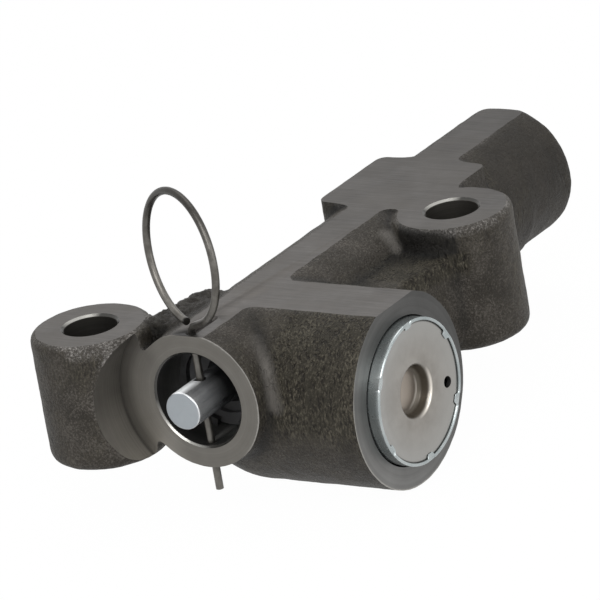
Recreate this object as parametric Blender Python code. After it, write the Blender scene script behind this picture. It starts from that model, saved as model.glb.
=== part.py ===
"""Hydraulic timing belt tensioner with its locking pin in place.

Lengths are in metres, +Z is up. The origin is the centre of the rod's tip. +X runs along the
rod into the casting, the reservoir cap looks towards -Y, and the milled plane of the casting
looks up.
"""
import math

import bmesh
import bpy
from mathutils import Matrix, Vector

# Gap that every seated or sliding piece keeps to its neighbour
GAP = 0.0003

# Main barrel along X, measured from the mouth face
ROD_PROUD = 0.0056
BARREL_LENGTH = 0.1233
BARREL_RADIUS = 0.0145
TOP_PLANE = 0.0139
MOUTH_BORE_RADIUS = 0.0100
MOUTH_BORE_DEPTH = 0.0217
PRESSURE_BORE_RADIUS = 0.0092
END_WALL = 0.0070
MOUTH_CHAMFER = 0.0004
SPOT_FACE_RADIUS = 0.0185

# Thicker rear end of the barrel
REAR_RADIUS = 0.0143
REAR_RISE = 0.0005
REAR_LENGTH = 0.0330
REAR_EDGE = 0.0014

# Bolt bosses, one each side of the barrel
BOSS_RADIUS = 0.0124
BOSS_HEIGHT = 0.0271
BOSS_TOP_EDGE = 0.0009
BOSS_FOOT_EDGE = 0.0021
BOLT_HOLE_RADIUS = 0.0055
BOLT_HOLE_CHAMFER = 0.0006
LEFT_BOSS_BACK = 0.0013
LEFT_BOSS_SIDE = 0.0243
RIGHT_BOSS_BACK = 0.0707
RIGHT_BOSS_SIDE = 0.0189

# Flange between the right boss and the rear end
PLATE_FRONT = 0.0691
PLATE_LENGTH = 0.0249
PLATE_WIDTH = 0.0262
PLATE_THICKNESS = 0.0075
PLATE_CORNER = 0.0020

# Webs that join the bosses to the barrels
LEFT_WEB_LENGTH = 0.0170
LEFT_WEB_LEAD = 0.0050
LEFT_WEB_HEIGHT = 0.0176
LEFT_WEB_WAIST = 0.0128
LEFT_WEB_FLARE = 0.0030
RIGHT_WEB_TOP_DROP = 0.0060
RIGHT_WEB_HEIGHT = 0.0185
RIGHT_WEB_OUT = 0.0215
RIGHT_WEB_MEET_X = 0.0074
RIGHT_WEB_MEET_Y = 0.0068

# Raised cast pad beside the mouth, just below the milled plane
PAD_FRONT = 0.0059
PAD_LENGTH = 0.0185
PAD_DROP = 0.0007
PAD_OUT_FRONT = 0.0152
PAD_OUT_BACK = 0.0124
PAD_CORNER = 0.0022

# Reservoir barrel along Y
RESERVOIR_BACK = 0.0231
RESERVOIR_DROP = 0.0049
RESERVOIR_RADIUS = 0.0200
RESERVOIR_FACE = 0.0348
RESERVOIR_FAR_END = 0.0120
RESERVOIR_FAR_EDGE = 0.0160
RESERVOIR_FACE_EDGE = 0.0004
CAP_BORE_RADIUS = 0.0153
CAP_BORE_DEPTH = 0.0092
OIL_BORE_RADIUS = 0.0130
OIL_BORE_DEPTH = 0.0200
OIL_DUCT_RADIUS = 0.0012

# Locking pin of spring wire and its cross holes
WIRE_RADIUS = 0.0008
PIN_INSET = 0.0021
PIN_TIP_BELOW = 0.0201
PIN_RING_RADIUS = 0.0137
PIN_RING_HEIGHT = 0.0303
PIN_RING_SHIFT_X = -0.0006
PIN_RING_SHIFT_Y = -0.0010
PIN_RING_TURN = math.radians(26.6)
PIN_RING_LEAN = math.radians(3.4)
PIN_RING_START = math.radians(-135.0)
PIN_RING_SWEEP = math.radians(306.0)
PIN_BEND_RISE = 0.0022
PIN_BEND_PULL = 0.0050
PIN_SLOT_LENGTH = 0.0070
PIN_SLOT_DEPTH = 0.0014

# Rod and its play on the pin
ROD_RADIUS = 0.0040
ROD_CHAMFER = 0.0004
ROD_LENGTH = 0.0497
ROD_PLAY = 0.0005

# Rod gland, from the snap ring inwards
SNAP_RING_INSET = 0.0084
SNAP_RING_THICKNESS = 0.0012
SNAP_RING_WIDTH = 0.0022
SNAP_RING_GROOVE = 0.0010
SNAP_RING_OPENING = math.radians(34.0)
SEAL_LENGTH = 0.0052
SEAL_FACE_WIDTH = 0.0026
SEAL_SHEET = 0.0009
SEAL_LIP_THICKNESS = 0.0008
SEAL_LIP_TIP = 0.0009
GARTER_WIRE = 0.0004

# Plunger that the rod pushes on
ROD_SOCKET_DEPTH = 0.0080
PLUNGER_NECK_RADIUS = 0.0070
PLUNGER_NECK_LENGTH = 0.0100
PLUNGER_LENGTH = 0.0270
WEAR_RING_LENGTH = 0.0040
WEAR_RING_DEPTH = 0.0014
WEAR_RING_SETBACK = 0.0025
VALVE_BORE_RADIUS = 0.0052
VALVE_DUCT_RADIUS = 0.0016
VALVE_WALL = 0.0024
VALVE_MOUTH_RADIUS = 0.0022
PLUNGER_FEED_RADIUS = 0.0006
VALVE_SEAT_LENGTH = 0.0030
BALL_RADIUS = 0.0024
BALL_LIFT = 0.0008
CAGE_SHEET = 0.0006
CAGE_WINDOW_RADIUS = 0.0013
BALL_SPRING_WIRE = 0.0002
BALL_SPRING_RADIUS = 0.0015
BALL_SPRING_TURNS = 2
BALL_SPRING_ROOM = 0.0024

# Return spring behind the plunger
SPRING_WIRE = 0.0011
SPRING_TURNS = 8

# Reservoir cap, diaphragm and light spring
CUP_SHEET = 0.0011
CUP_PROUD = 0.0028
CUP_RIM_LIP = 0.0008
CAP_DISC_SHEET = 0.0012
DIMPLE_RADIUS = 0.0052
DIMPLE_DEPTH = 0.0034
DIMPLE_SHOULDER = 0.0011
VENT_RADIUS = 0.0012
VENT_OFFSET = 0.0109
VENT_DROP = 0.0026
DIAPHRAGM_RUBBER = 0.0009
DIAPHRAGM_ROLL = 0.0016
FOLLOWER_RADIUS = 0.0086
FOLLOWER_SHEET = 0.0010
LIGHT_SPRING_WIRE = 0.0004
LIGHT_SPRING_RADIUS = 0.0074
LIGHT_SPRING_TURNS = 2

# Facets round a full turn
CAST_FACETS = 52
BORE_FACETS = 36
INNER_FACETS = 28
DRILL_FACETS = 12
COIL_FACETS = 12
BALL_FACETS = 16
BALL_RINGS = 10

# Steps along rounded edges, the domed casting end and the bends of the pin
EDGE_STEPS = 4
DOME_STEPS = 7
PIN_BEND_STEPS = 8
PIN_RING_STEPS = 36

# Edges that turn by less than this are shaded smooth
SMOOTH_ANGLE = math.radians(35.0)

# Length by which a cutter or a blank runs past the face it meets
RUN_OUT = 0.0030

# Places worked out from the sizes above
MOUTH_X = ROD_PROUD
BARREL_END_X = MOUTH_X + BARREL_LENGTH
LEFT_BOSS = (MOUTH_X + LEFT_BOSS_BACK, LEFT_BOSS_SIDE)
RIGHT_BOSS = (MOUTH_X + RIGHT_BOSS_BACK, -RIGHT_BOSS_SIDE)
BOSS_FOOT_Z = TOP_PLANE - BOSS_HEIGHT
RESERVOIR_X = MOUTH_X + RESERVOIR_BACK
PIN_X = MOUTH_X + PIN_INSET
SHOULDER_X = MOUTH_X + MOUTH_BORE_DEPTH
BORE_END_X = BARREL_END_X - END_WALL
PLUNGER_FRONT_X = ROD_LENGTH + GAP - ROD_SOCKET_DEPTH
PLUNGER_BACK_X = PLUNGER_FRONT_X + PLUNGER_LENGTH


def clear_scene():
    """Remove every object the file opened with."""
    for item in list(bpy.data.objects):
        bpy.data.objects.remove(item, do_unlink=True)


def make_material(name, colour, roughness, metallic):
    """Return a Principled material with one plain finish."""
    material = bpy.data.materials.new(name)
    material.use_nodes = True
    shader = material.node_tree.nodes["Principled BSDF"]
    shader.inputs["Base Color"].default_value = (*colour, 1.0)
    shader.inputs["Roughness"].default_value = roughness
    shader.inputs["Metallic"].default_value = metallic
    material.diffuse_color = (*colour, 1.0)
    return material


def make_materials():
    """Return the finishes of the tensioner by name."""
    finishes = {
        "cast_iron": ((0.085, 0.078, 0.070), 0.55, 0.7),
        "polished_steel": ((0.60, 0.62, 0.65), 0.18, 1.0),
        "ground_steel": ((0.42, 0.42, 0.43), 0.32, 1.0),
        "spring_steel": ((0.20, 0.19, 0.18), 0.38, 1.0),
        "zinc_plate": ((0.62, 0.62, 0.60), 0.27, 1.0),
        "pin_wire": ((0.33, 0.31, 0.28), 0.36, 1.0),
        "seal_rubber": ((0.020, 0.020, 0.022), 0.70, 0.0),
        "wear_polymer": ((0.10, 0.075, 0.05), 0.50, 0.0),
        "sintered_guide": ((0.30, 0.22, 0.13), 0.45, 0.9),
    }
    return {name: make_material(name, *finish) for name, finish in finishes.items()}


def to_object(name, bm, material=None, location=(0.0, 0.0, 0.0)):
    """Turn a bmesh into a smooth-shaded object with sharp edges kept."""
    bmesh.ops.recalc_face_normals(bm, faces=bm.faces)
    mesh = bpy.data.meshes.new(name)
    bm.to_mesh(mesh)
    bm.free()
    mesh.shade_smooth()
    mesh.set_sharp_from_angle(angle=SMOOTH_ANGLE)
    if material is not None:
        mesh.materials.append(material)
    item = bpy.data.objects.new(name, mesh)
    item.location = location
    bpy.context.scene.collection.objects.link(item)
    return item


def arc(centre_a, centre_r, radius, start, stop, steps):
    """Points of a circular arc in a profile, angles in degrees from the axis direction."""
    points = []
    for step in range(steps + 1):
        angle = math.radians(start + (stop - start) * step / steps)
        points.append((centre_a + radius * math.cos(angle), centre_r + radius * math.sin(angle)))
    return points


AXIS_FRAMES = {
    "X": (Vector((1.0, 0.0, 0.0)), Vector((0.0, 0.0, 1.0))),
    "Y": (Vector((0.0, 1.0, 0.0)), Vector((0.0, 0.0, 1.0))),
    "Z": (Vector((0.0, 0.0, 1.0)), Vector((1.0, 0.0, 0.0))),
}


def turned(profile, axis, facets, centre=(0.0, 0.0, 0.0), ring=False):
    """Spin a profile of (along, radius) points round an axis through centre.

    A solid profile runs from one flat end to the other. A ring profile is a closed section.
    """
    along, outward = AXIS_FRAMES[axis]
    origin = Vector(centre)
    bm = bmesh.new()
    verts = [bm.verts.new(origin + along * a + outward * r) for a, r in profile]
    edges = [bm.edges.new(pair) for pair in zip(verts, verts[1:])]
    if ring:
        edges.append(bm.edges.new((verts[-1], verts[0])))
    bmesh.ops.spin(
        bm,
        geom=verts + edges,
        cent=origin,
        axis=along,
        angle=2.0 * math.pi,
        steps=facets,
        use_merge=True,
    )
    if not ring:
        bmesh.ops.holes_fill(bm, edges=bm.edges)
    return bm


def rod_shape(axis, start, stop, radius, facets, centre=(0.0, 0.0, 0.0)):
    """A plain round bar between two stations on its axis."""
    along = AXIS_FRAMES[axis][0]
    middle = Vector(centre) + along * (start + stop) / 2.0
    turn = along.to_track_quat("Z", "Y").to_matrix().to_4x4()
    turn = turn @ Matrix.Rotation(math.pi / facets, 4, "Z")
    bm = bmesh.new()
    bmesh.ops.create_cone(
        bm,
        cap_ends=True,
        segments=facets,
        radius1=radius,
        radius2=radius,
        depth=stop - start,
        matrix=Matrix.Translation(middle) @ turn,
    )
    return bm


def prism(outline, axis, start, stop):
    """Extrude a closed outline along an axis.

    The outline is (x, y) for Z, (y, z) for X and (x, z) for Y.
    """
    places = {
        "X": lambda a, b: (start, a, b),
        "Y": lambda a, b: (a, start, b),
        "Z": lambda a, b: (a, b, start),
    }
    bm = bmesh.new()
    face = bm.faces.new([bm.verts.new(places[axis](a, b)) for a, b in outline])
    grown = bmesh.ops.extrude_face_region(bm, geom=[face])
    moved = [item for item in grown["geom"] if isinstance(item, bmesh.types.BMVert)]
    bmesh.ops.translate(bm, verts=moved, vec=AXIS_FRAMES[axis][0] * (stop - start))
    return bm


def boolean(target, bm, operation, name):
    """Add or cut a shape with an exact Boolean on the target."""
    tool = to_object(name, bm)
    tool.hide_render = True
    tool.display_type = "WIRE"
    modifier = target.modifiers.new(name, "BOOLEAN")
    modifier.operation = operation
    modifier.solver = "EXACT"
    modifier.object = tool


def add_all(target, shapes):
    """Union each named shape with the target."""
    for name, bm in shapes.items():
        boolean(target, bm, "UNION", name)


def cut_all(target, shapes):
    """Cut each named shape out of the target."""
    for name, bm in shapes.items():
        boolean(target, bm, "DIFFERENCE", name)


def wire(name, points, radius, roundness, material):
    """A round wire with flat ends along a list of points."""
    curve = bpy.data.curves.new(name, "CURVE")
    curve.dimensions = "3D"
    curve.bevel_depth = radius
    curve.bevel_resolution = roundness
    curve.use_fill_caps = True
    spline = curve.splines.new("POLY")
    spline.points.add(len(points) - 1)
    for point, place in zip(spline.points, points):
        point.co = (*place, 1.0)
    curve.materials.append(material)
    item = bpy.data.objects.new(name, curve)
    bpy.context.scene.collection.objects.link(item)
    return item


def coil(axis, centre, start, stop, radius, wire_radius, turns, steps):
    """Points of a compression spring with a closed flat coil at each end."""
    along, outward = AXIS_FRAMES[axis]
    side = along.cross(outward)
    pitch_closed = 2.0 * wire_radius + GAP
    first = start + wire_radius
    last = stop - wire_radius
    rise = (last - first - 2.0 * pitch_closed) / turns
    points = []
    for step in range((turns + 2) * steps + 1):
        turn = step / steps
        if turn < 1.0:
            place = first + pitch_closed * turn
        elif turn < turns + 1.0:
            place = first + pitch_closed + rise * (turn - 1.0)
        else:
            place = last - pitch_closed * (turns + 2.0 - turn)
        angle = 2.0 * math.pi * turn
        spoke = outward * math.cos(angle) + side * math.sin(angle)
        points.append(Vector(centre) + along * place + spoke * radius)
    return points


def boss_blank(centre):
    """A cast bolt boss with a rounded foot and a softened edge under the milled plane."""
    foot = arc(BOSS_FOOT_Z + BOSS_FOOT_EDGE, BOSS_RADIUS - BOSS_FOOT_EDGE,
               BOSS_FOOT_EDGE, 180.0, 90.0, EDGE_STEPS)
    top = arc(TOP_PLANE - BOSS_TOP_EDGE, BOSS_RADIUS - BOSS_TOP_EDGE, BOSS_TOP_EDGE, 90.0, 0.0,
              EDGE_STEPS // 2)
    blank_top = TOP_PLANE + RUN_OUT
    profile = foot + top + [(blank_top, BOSS_RADIUS - BOSS_TOP_EDGE)]
    return turned(profile, "Z", CAST_FACETS, (centre[0], centre[1], 0.0))


def left_web():
    """Waisted web between the mouth and the left boss, wider where it meets the boss."""
    half = LEFT_WEB_HEIGHT / 2.0
    top = half + LEFT_WEB_FLARE
    inner_y = MOUTH_BORE_RADIUS / 2.0
    outer_y = LEFT_BOSS_SIDE - BOLT_HOLE_RADIUS / 2.0
    upper = arc(LEFT_WEB_WAIST, top, LEFT_WEB_FLARE, -90.0, 0.0, EDGE_STEPS)
    lower = [(y, -z) for y, z in reversed(upper)]
    outline = [(inner_y, half)] + upper + [(outer_y, top), (outer_y, -top)] + lower
    outline.append((inner_y, -half))
    start = MOUTH_X - LEFT_WEB_LEAD
    return prism(outline, "X", start, start + LEFT_WEB_LENGTH)


def right_web():
    """Web that fills the corner between the reservoir barrel and the right boss."""
    top = TOP_PLANE - RIGHT_WEB_TOP_DROP
    inner_y = -BARREL_RADIUS / 2.0
    front_x = RESERVOIR_X + RESERVOIR_RADIUS / 2.0
    flank_x = RESERVOIR_X + RESERVOIR_RADIUS + RUN_OUT
    meet_x = RIGHT_BOSS[0] - RIGHT_WEB_MEET_X
    outline = [
        (front_x, inner_y),
        (front_x, -RIGHT_WEB_OUT),
        (flank_x, -RIGHT_WEB_OUT),
        (meet_x, -RIGHT_BOSS_SIDE - RIGHT_WEB_MEET_Y),
        (meet_x, -RIGHT_BOSS_SIDE),
        (RIGHT_BOSS[0] - BOSS_RADIUS, inner_y),
    ]
    return prism(outline, "Z", top - RIGHT_WEB_HEIGHT, top)


def flange_plate():
    """Flat flange with rounded corners on top of the barrel."""
    half = PLATE_WIDTH / 2.0
    front = MOUTH_X + PLATE_FRONT
    back = front + PLATE_LENGTH
    outline = []
    corners = [
        (back - PLATE_CORNER, half - PLATE_CORNER, 0.0),
        (front + PLATE_CORNER, half - PLATE_CORNER, 90.0),
        (front + PLATE_CORNER, -half + PLATE_CORNER, 180.0),
        (back - PLATE_CORNER, -half + PLATE_CORNER, 270.0),
    ]
    for x, y, start in corners:
        outline += arc(x, y, PLATE_CORNER, start, start + 90.0, EDGE_STEPS)
    return prism(outline, "Z", TOP_PLANE - PLATE_THICKNESS, TOP_PLANE + RUN_OUT)


def reservoir_blank():
    """Fat barrel along Y with a sharp machined face and a rounded cast end."""
    face = -RESERVOIR_FACE
    far = RESERVOIR_FAR_END
    profile = [
        (face, RESERVOIR_RADIUS - RESERVOIR_FACE_EDGE),
        (face + RESERVOIR_FACE_EDGE, RESERVOIR_RADIUS),
    ]
    profile += arc(far - RESERVOIR_FAR_EDGE, RESERVOIR_RADIUS - RESERVOIR_FAR_EDGE,
                   RESERVOIR_FAR_EDGE, 90.0, 0.0, DOME_STEPS)
    return turned(profile, "Y", CAST_FACETS, (RESERVOIR_X, 0.0, -RESERVOIR_DROP))


def rear_blank():
    """Rear end of the barrel, set a little higher, with a rounded outer edge."""
    profile = [(BARREL_END_X - REAR_LENGTH, REAR_RADIUS)]
    profile += arc(BARREL_END_X - REAR_EDGE, REAR_RADIUS - REAR_EDGE, REAR_EDGE, 90.0, 0.0,
                   EDGE_STEPS)
    return turned(profile, "X", CAST_FACETS, (0.0, 0.0, REAR_RISE))


def cast_pad():
    """Raised pad on the far side of the mouth, where the casting fills up to the left boss."""
    front = MOUTH_X + PAD_FRONT
    back = front + PAD_LENGTH
    inner = BARREL_RADIUS / 4.0
    outline = [
        (front, inner),
        (front, PAD_OUT_FRONT),
        (back - PAD_CORNER, PAD_OUT_BACK),
        (back, PAD_OUT_BACK - PAD_CORNER),
        (back, inner),
    ]
    return prism(outline, "Z", 0.0, TOP_PLANE - PAD_DROP)


def main_bore():
    """Stepped bore with the snap ring groove and a chamfered mouth."""
    groove_start = MOUTH_X + SNAP_RING_INSET
    groove_stop = groove_start + SNAP_RING_THICKNESS + 2.0 * GAP
    groove_radius = MOUTH_BORE_RADIUS + SNAP_RING_GROOVE
    profile = [
        (MOUTH_X - RUN_OUT, MOUTH_BORE_RADIUS + MOUTH_CHAMFER + RUN_OUT),
        (MOUTH_X + MOUTH_CHAMFER, MOUTH_BORE_RADIUS),
        (groove_start, MOUTH_BORE_RADIUS),
        (groove_start, groove_radius),
        (groove_stop, groove_radius),
        (groove_stop, MOUTH_BORE_RADIUS),
        (SHOULDER_X, MOUTH_BORE_RADIUS),
        (SHOULDER_X, PRESSURE_BORE_RADIUS),
        (BORE_END_X, PRESSURE_BORE_RADIUS),
    ]
    return turned(profile, "X", BORE_FACETS)


def bolt_hole(centre):
    """Through hole of a boss, chamfered where it meets the milled plane."""
    wide = BOLT_HOLE_RADIUS + BOLT_HOLE_CHAMFER + RUN_OUT
    profile = [
        (BOSS_FOOT_Z - RUN_OUT, BOLT_HOLE_RADIUS),
        (TOP_PLANE - BOLT_HOLE_CHAMFER, BOLT_HOLE_RADIUS),
        (TOP_PLANE + RUN_OUT, wide),
    ]
    return turned(profile, "Z", BORE_FACETS, (centre[0], centre[1], 0.0))


def reservoir_bore():
    """Cap seat and oil chamber, opened from the machined face."""
    face = -RESERVOIR_FACE
    seat = face + CAP_BORE_DEPTH
    floor = face + OIL_BORE_DEPTH
    profile = [
        (face - RUN_OUT, CAP_BORE_RADIUS),
        (seat, CAP_BORE_RADIUS),
        (seat, OIL_BORE_RADIUS),
        (floor, OIL_BORE_RADIUS),
    ]
    return turned(profile, "Y", BORE_FACETS, (RESERVOIR_X, 0.0, -RESERVOIR_DROP))


def pin_slot():
    """Shallow slot in the milled plane that clears the bend of the pin."""
    half = WIRE_RADIUS + 2.0 * GAP
    outline = arc(PIN_X, 0.0, half, 90.0, 270.0, EDGE_STEPS)
    outline += arc(PIN_X + PIN_SLOT_LENGTH, 0.0, half, -90.0, 90.0, EDGE_STEPS)
    return prism(outline, "Z", TOP_PLANE - PIN_SLOT_DEPTH, TOP_PLANE + RUN_OUT)


def make_housing(finish):
    """One iron casting: two crossed barrels, two bosses, flange, webs and every bore."""
    reach = BARREL_LENGTH
    start = MOUTH_X - RUN_OUT
    stop = BARREL_END_X - REAR_LENGTH / 2.0
    barrel = rod_shape("X", start, stop, BARREL_RADIUS, CAST_FACETS)
    housing = to_object("housing", barrel, finish["cast_iron"])
    add_all(housing, {
        "reservoir_blank": reservoir_blank(),
        "right_boss_blank": boss_blank(RIGHT_BOSS),
        "right_web_blank": right_web(),
        "left_web_blank": left_web(),
        "left_boss_blank": boss_blank(LEFT_BOSS),
        "flange_blank": flange_plate(),
        "rear_blank": rear_blank(),
        "cast_pad_blank": cast_pad(),
    })
    milling = [(-reach, -reach), (2.0 * reach, -reach), (2.0 * reach, reach), (-reach, reach)]
    pin_hole = WIRE_RADIUS + GAP
    duct_start = -RESERVOIR_FACE + OIL_BORE_DEPTH - RUN_OUT
    cut_all(housing, {
        "milled_plane": prism(milling, "Z", TOP_PLANE, TOP_PLANE + reach),
        "spot_face": rod_shape("X", MOUTH_X - reach, MOUTH_X, SPOT_FACE_RADIUS, CAST_FACETS),
        "main_bore": main_bore(),
        "left_bolt_hole": bolt_hole(LEFT_BOSS),
        "right_bolt_hole": bolt_hole(RIGHT_BOSS),
        "reservoir_bore": reservoir_bore(),
        "oil_duct": rod_shape("Y", duct_start, 0.0, OIL_DUCT_RADIUS, DRILL_FACETS,
                              (RESERVOIR_X, 0.0, 0.0)),
        "pin_slot": pin_slot(),
        "pin_hole": rod_shape("Z", -BARREL_RADIUS - RUN_OUT, TOP_PLANE + RUN_OUT, pin_hole,
                              DRILL_FACETS, (PIN_X, 0.0, 0.0)),
    })
    return housing


def make_rod(finish, plunger):
    """Polished rod with a cross hole for the pin."""
    profile = [
        (0.0, ROD_RADIUS - ROD_CHAMFER),
        (ROD_CHAMFER, ROD_RADIUS),
        (ROD_LENGTH - ROD_CHAMFER, ROD_RADIUS),
        (ROD_LENGTH, ROD_RADIUS - ROD_CHAMFER),
    ]
    rod = to_object("plunger_rod", turned(profile, "X", INNER_FACETS), finish["polished_steel"])
    hole_radius = WIRE_RADIUS + GAP + ROD_PLAY / 2.0
    hole_x = PIN_X - ROD_PLAY / 2.0
    hole = rod_shape("Z", -ROD_RADIUS - RUN_OUT, ROD_RADIUS + RUN_OUT, hole_radius,
                     DRILL_FACETS, (hole_x, 0.0, 0.0))
    cut_all(rod, {"rod_cross_hole": hole})
    rod.parent = plunger


def make_gland(finish):
    """Snap ring, lip seal with its garter spring, and the rod guide behind it."""
    ring_start = MOUTH_X + SNAP_RING_INSET + GAP
    ring_stop = ring_start + SNAP_RING_THICKNESS
    ring_outer = MOUTH_BORE_RADIUS + SNAP_RING_GROOVE - GAP
    ring_inner = ring_outer - SNAP_RING_WIDTH
    profile = [(ring_start, ring_inner), (ring_start, ring_outer),
               (ring_stop, ring_outer), (ring_stop, ring_inner)]
    snap = to_object("seal_snap_ring", turned(profile, "X", INNER_FACETS, ring=True),
                     finish["spring_steel"])
    reach = 2.0 * ring_outer
    half = SNAP_RING_OPENING / 2.0
    wedge = [(0.0, 0.0), (reach * math.sin(half), -reach * math.cos(half)),
             (-reach * math.sin(half), -reach * math.cos(half))]
    cut_all(snap, {"snap_ring_opening": prism(wedge, "X", ring_start - RUN_OUT,
                                              ring_stop + RUN_OUT)})

    case_start = ring_stop + GAP
    case_stop = case_start + SEAL_LENGTH
    case_outer = MOUTH_BORE_RADIUS - GAP
    case_inner = case_outer - SEAL_FACE_WIDTH
    profile = [
        (case_start, case_inner),
        (case_start, case_outer),
        (case_stop, case_outer),
        (case_stop, case_outer - SEAL_SHEET),
        (case_start + SEAL_SHEET, case_outer - SEAL_SHEET),
        (case_start + SEAL_SHEET, case_inner),
    ]
    to_object("seal_case", turned(profile, "X", INNER_FACETS, ring=True), finish["ground_steel"])

    lip_bore = ROD_RADIUS + GAP
    lip_start = case_start + SEAL_SHEET + GAP
    web_stop = lip_start + SEAL_LIP_THICKNESS
    lip_outer = case_outer - SEAL_SHEET - GAP
    lip_stop = case_stop - SEAL_SHEET
    seat = lip_stop - SEAL_LIP_TIP
    lip_back = lip_bore + SEAL_LIP_THICKNESS
    profile = [
        (lip_start, lip_bore + SEAL_LIP_THICKNESS),
        (lip_start, lip_outer),
        (web_stop, lip_outer),
        (web_stop, lip_back + SEAL_LIP_THICKNESS),
        (seat - GARTER_WIRE, lip_back),
        (seat + GARTER_WIRE, lip_back),
        (lip_stop, lip_back + GARTER_WIRE),
        (lip_stop, lip_bore + SEAL_LIP_THICKNESS / 2.0),
        (seat, lip_bore),
    ]
    to_object("seal_lip", turned(profile, "X", INNER_FACETS, ring=True), finish["seal_rubber"])
    garter_radius = lip_back + GAP + GARTER_WIRE
    section = arc(seat, garter_radius, GARTER_WIRE, 0.0, 300.0, 5)
    to_object("seal_garter_spring", turned(section, "X", INNER_FACETS, ring=True),
              finish["spring_steel"])

    guide_start = case_stop + GAP
    guide_stop = SHOULDER_X - GAP
    profile = [
        (guide_start, lip_bore),
        (guide_start, case_outer),
        (guide_stop, case_outer),
        (guide_stop, lip_bore),
    ]
    to_object("rod_guide", turned(profile, "X", INNER_FACETS, ring=True),
              finish["sintered_guide"])


def make_plunger(finish):
    """Plunger with its wear ring and the one-way valve in its back; returns the parent."""
    parent = bpy.data.objects.new("plunger_axis", None)
    bpy.context.scene.collection.objects.link(parent)

    outer = PRESSURE_BORE_RADIUS - GAP
    neck_stop = PLUNGER_FRONT_X + PLUNGER_NECK_LENGTH
    socket_stop = ROD_LENGTH + GAP
    socket_radius = ROD_RADIUS + GAP
    duct_stop = socket_stop + VALVE_WALL
    groove_start = neck_stop + WEAR_RING_SETBACK
    groove_stop = groove_start + WEAR_RING_LENGTH + 2.0 * GAP
    groove_radius = outer - WEAR_RING_DEPTH
    profile = [
        (PLUNGER_FRONT_X, socket_radius),
        (PLUNGER_FRONT_X, PLUNGER_NECK_RADIUS),
        (neck_stop, PLUNGER_NECK_RADIUS),
        (neck_stop, outer),
        (groove_start, outer),
        (groove_start, groove_radius),
        (groove_stop, groove_radius),
        (groove_stop, outer),
        (PLUNGER_BACK_X, outer),
        (PLUNGER_BACK_X, VALVE_BORE_RADIUS),
        (duct_stop, VALVE_BORE_RADIUS),
        (duct_stop, VALVE_DUCT_RADIUS),
        (socket_stop, VALVE_DUCT_RADIUS),
        (socket_stop, socket_radius),
    ]
    plunger = to_object("plunger", turned(profile, "X", INNER_FACETS, ring=True),
                        finish["ground_steel"])
    plunger.parent = parent
    feed_x = (socket_stop + duct_stop) / 2.0
    feed = rod_shape("Z", 0.0, PLUNGER_NECK_RADIUS + RUN_OUT, PLUNGER_FEED_RADIUS,
                     DRILL_FACETS, (feed_x, 0.0, 0.0))
    cut_all(plunger, {"plunger_feed_hole": feed})

    ring_start = groove_start + GAP
    ring_stop = ring_start + WEAR_RING_LENGTH
    profile = [
        (ring_start, groove_radius + GAP),
        (ring_start, outer),
        (ring_stop, outer),
        (ring_stop, groove_radius + GAP),
    ]
    wear = to_object("wear_ring", turned(profile, "X", INNER_FACETS, ring=True),
                     finish["wear_polymer"])
    wear.parent = parent
    make_valve(finish, parent, duct_stop)
    return parent


def make_valve(finish, parent, floor_x):
    """Valve seat, ball, light spring and cage, stacked on the floor of the valve bore."""
    seat_start = floor_x + GAP
    seat_stop = seat_start + VALVE_SEAT_LENGTH
    seat_outer = VALVE_BORE_RADIUS - GAP
    cone = VALVE_MOUTH_RADIUS - VALVE_DUCT_RADIUS
    profile = [
        (seat_start, VALVE_DUCT_RADIUS),
        (seat_start, seat_outer),
        (seat_stop, seat_outer),
        (seat_stop, VALVE_MOUTH_RADIUS),
        (seat_stop - cone, VALVE_DUCT_RADIUS),
    ]
    seat = to_object("valve_seat", turned(profile, "X", INNER_FACETS, ring=True),
                     finish["ground_steel"])
    seat.parent = parent

    contact = (BALL_RADIUS + GAP) * math.sqrt(2.0)
    ball_x = seat_stop - VALVE_MOUTH_RADIUS + contact
    ball_mesh = bmesh.new()
    bmesh.ops.create_uvsphere(ball_mesh, u_segments=BALL_FACETS, v_segments=BALL_RINGS,
                              radius=BALL_RADIUS)
    ball = to_object("check_ball", ball_mesh, finish["polished_steel"], (ball_x, 0.0, 0.0))
    ball.parent = parent

    cage_start = seat_stop + GAP
    cage_stop = ball_x + BALL_RADIUS + BALL_LIFT + BALL_SPRING_ROOM + CAGE_SHEET
    cup_inner = BALL_RADIUS + 2.0 * GAP
    cup_outer = cup_inner + CAGE_SHEET
    profile = [
        (cage_start, cup_inner),
        (cage_start, seat_outer),
        (cage_start + CAGE_SHEET, seat_outer),
        (cage_start + CAGE_SHEET, cup_outer),
        (cage_stop, cup_outer),
        (cage_stop, VALVE_DUCT_RADIUS / 2.0),
        (cage_stop - CAGE_SHEET, VALVE_DUCT_RADIUS / 2.0),
        (cage_stop - CAGE_SHEET, cup_inner),
    ]
    cage = to_object("valve_cage", turned(profile, "X", INNER_FACETS, ring=True),
                     finish["zinc_plate"])
    window_x = (cage_start + cage_stop) / 2.0
    reach = 2.0 * cup_outer
    cut_all(cage, {
        "cage_window_up": rod_shape("Z", -reach, reach, CAGE_WINDOW_RADIUS, DRILL_FACETS,
                                    (window_x, 0.0, 0.0)),
        "cage_window_side": rod_shape("Y", -reach, reach, CAGE_WINDOW_RADIUS, DRILL_FACETS,
                                      (window_x, 0.0, 0.0)),
    })
    cage.parent = parent

    touch = math.sqrt((BALL_RADIUS + GAP + BALL_SPRING_WIRE) ** 2 - BALL_SPRING_RADIUS ** 2)
    points = coil("X", (0.0, 0.0, 0.0), ball_x + touch - BALL_SPRING_WIRE,
                  cage_stop - CAGE_SHEET - GAP, BALL_SPRING_RADIUS, BALL_SPRING_WIRE,
                  BALL_SPRING_TURNS, COIL_FACETS)
    spring = wire("check_ball_spring", points, BALL_SPRING_WIRE, 1, finish["spring_steel"])
    spring.parent = parent


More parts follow.
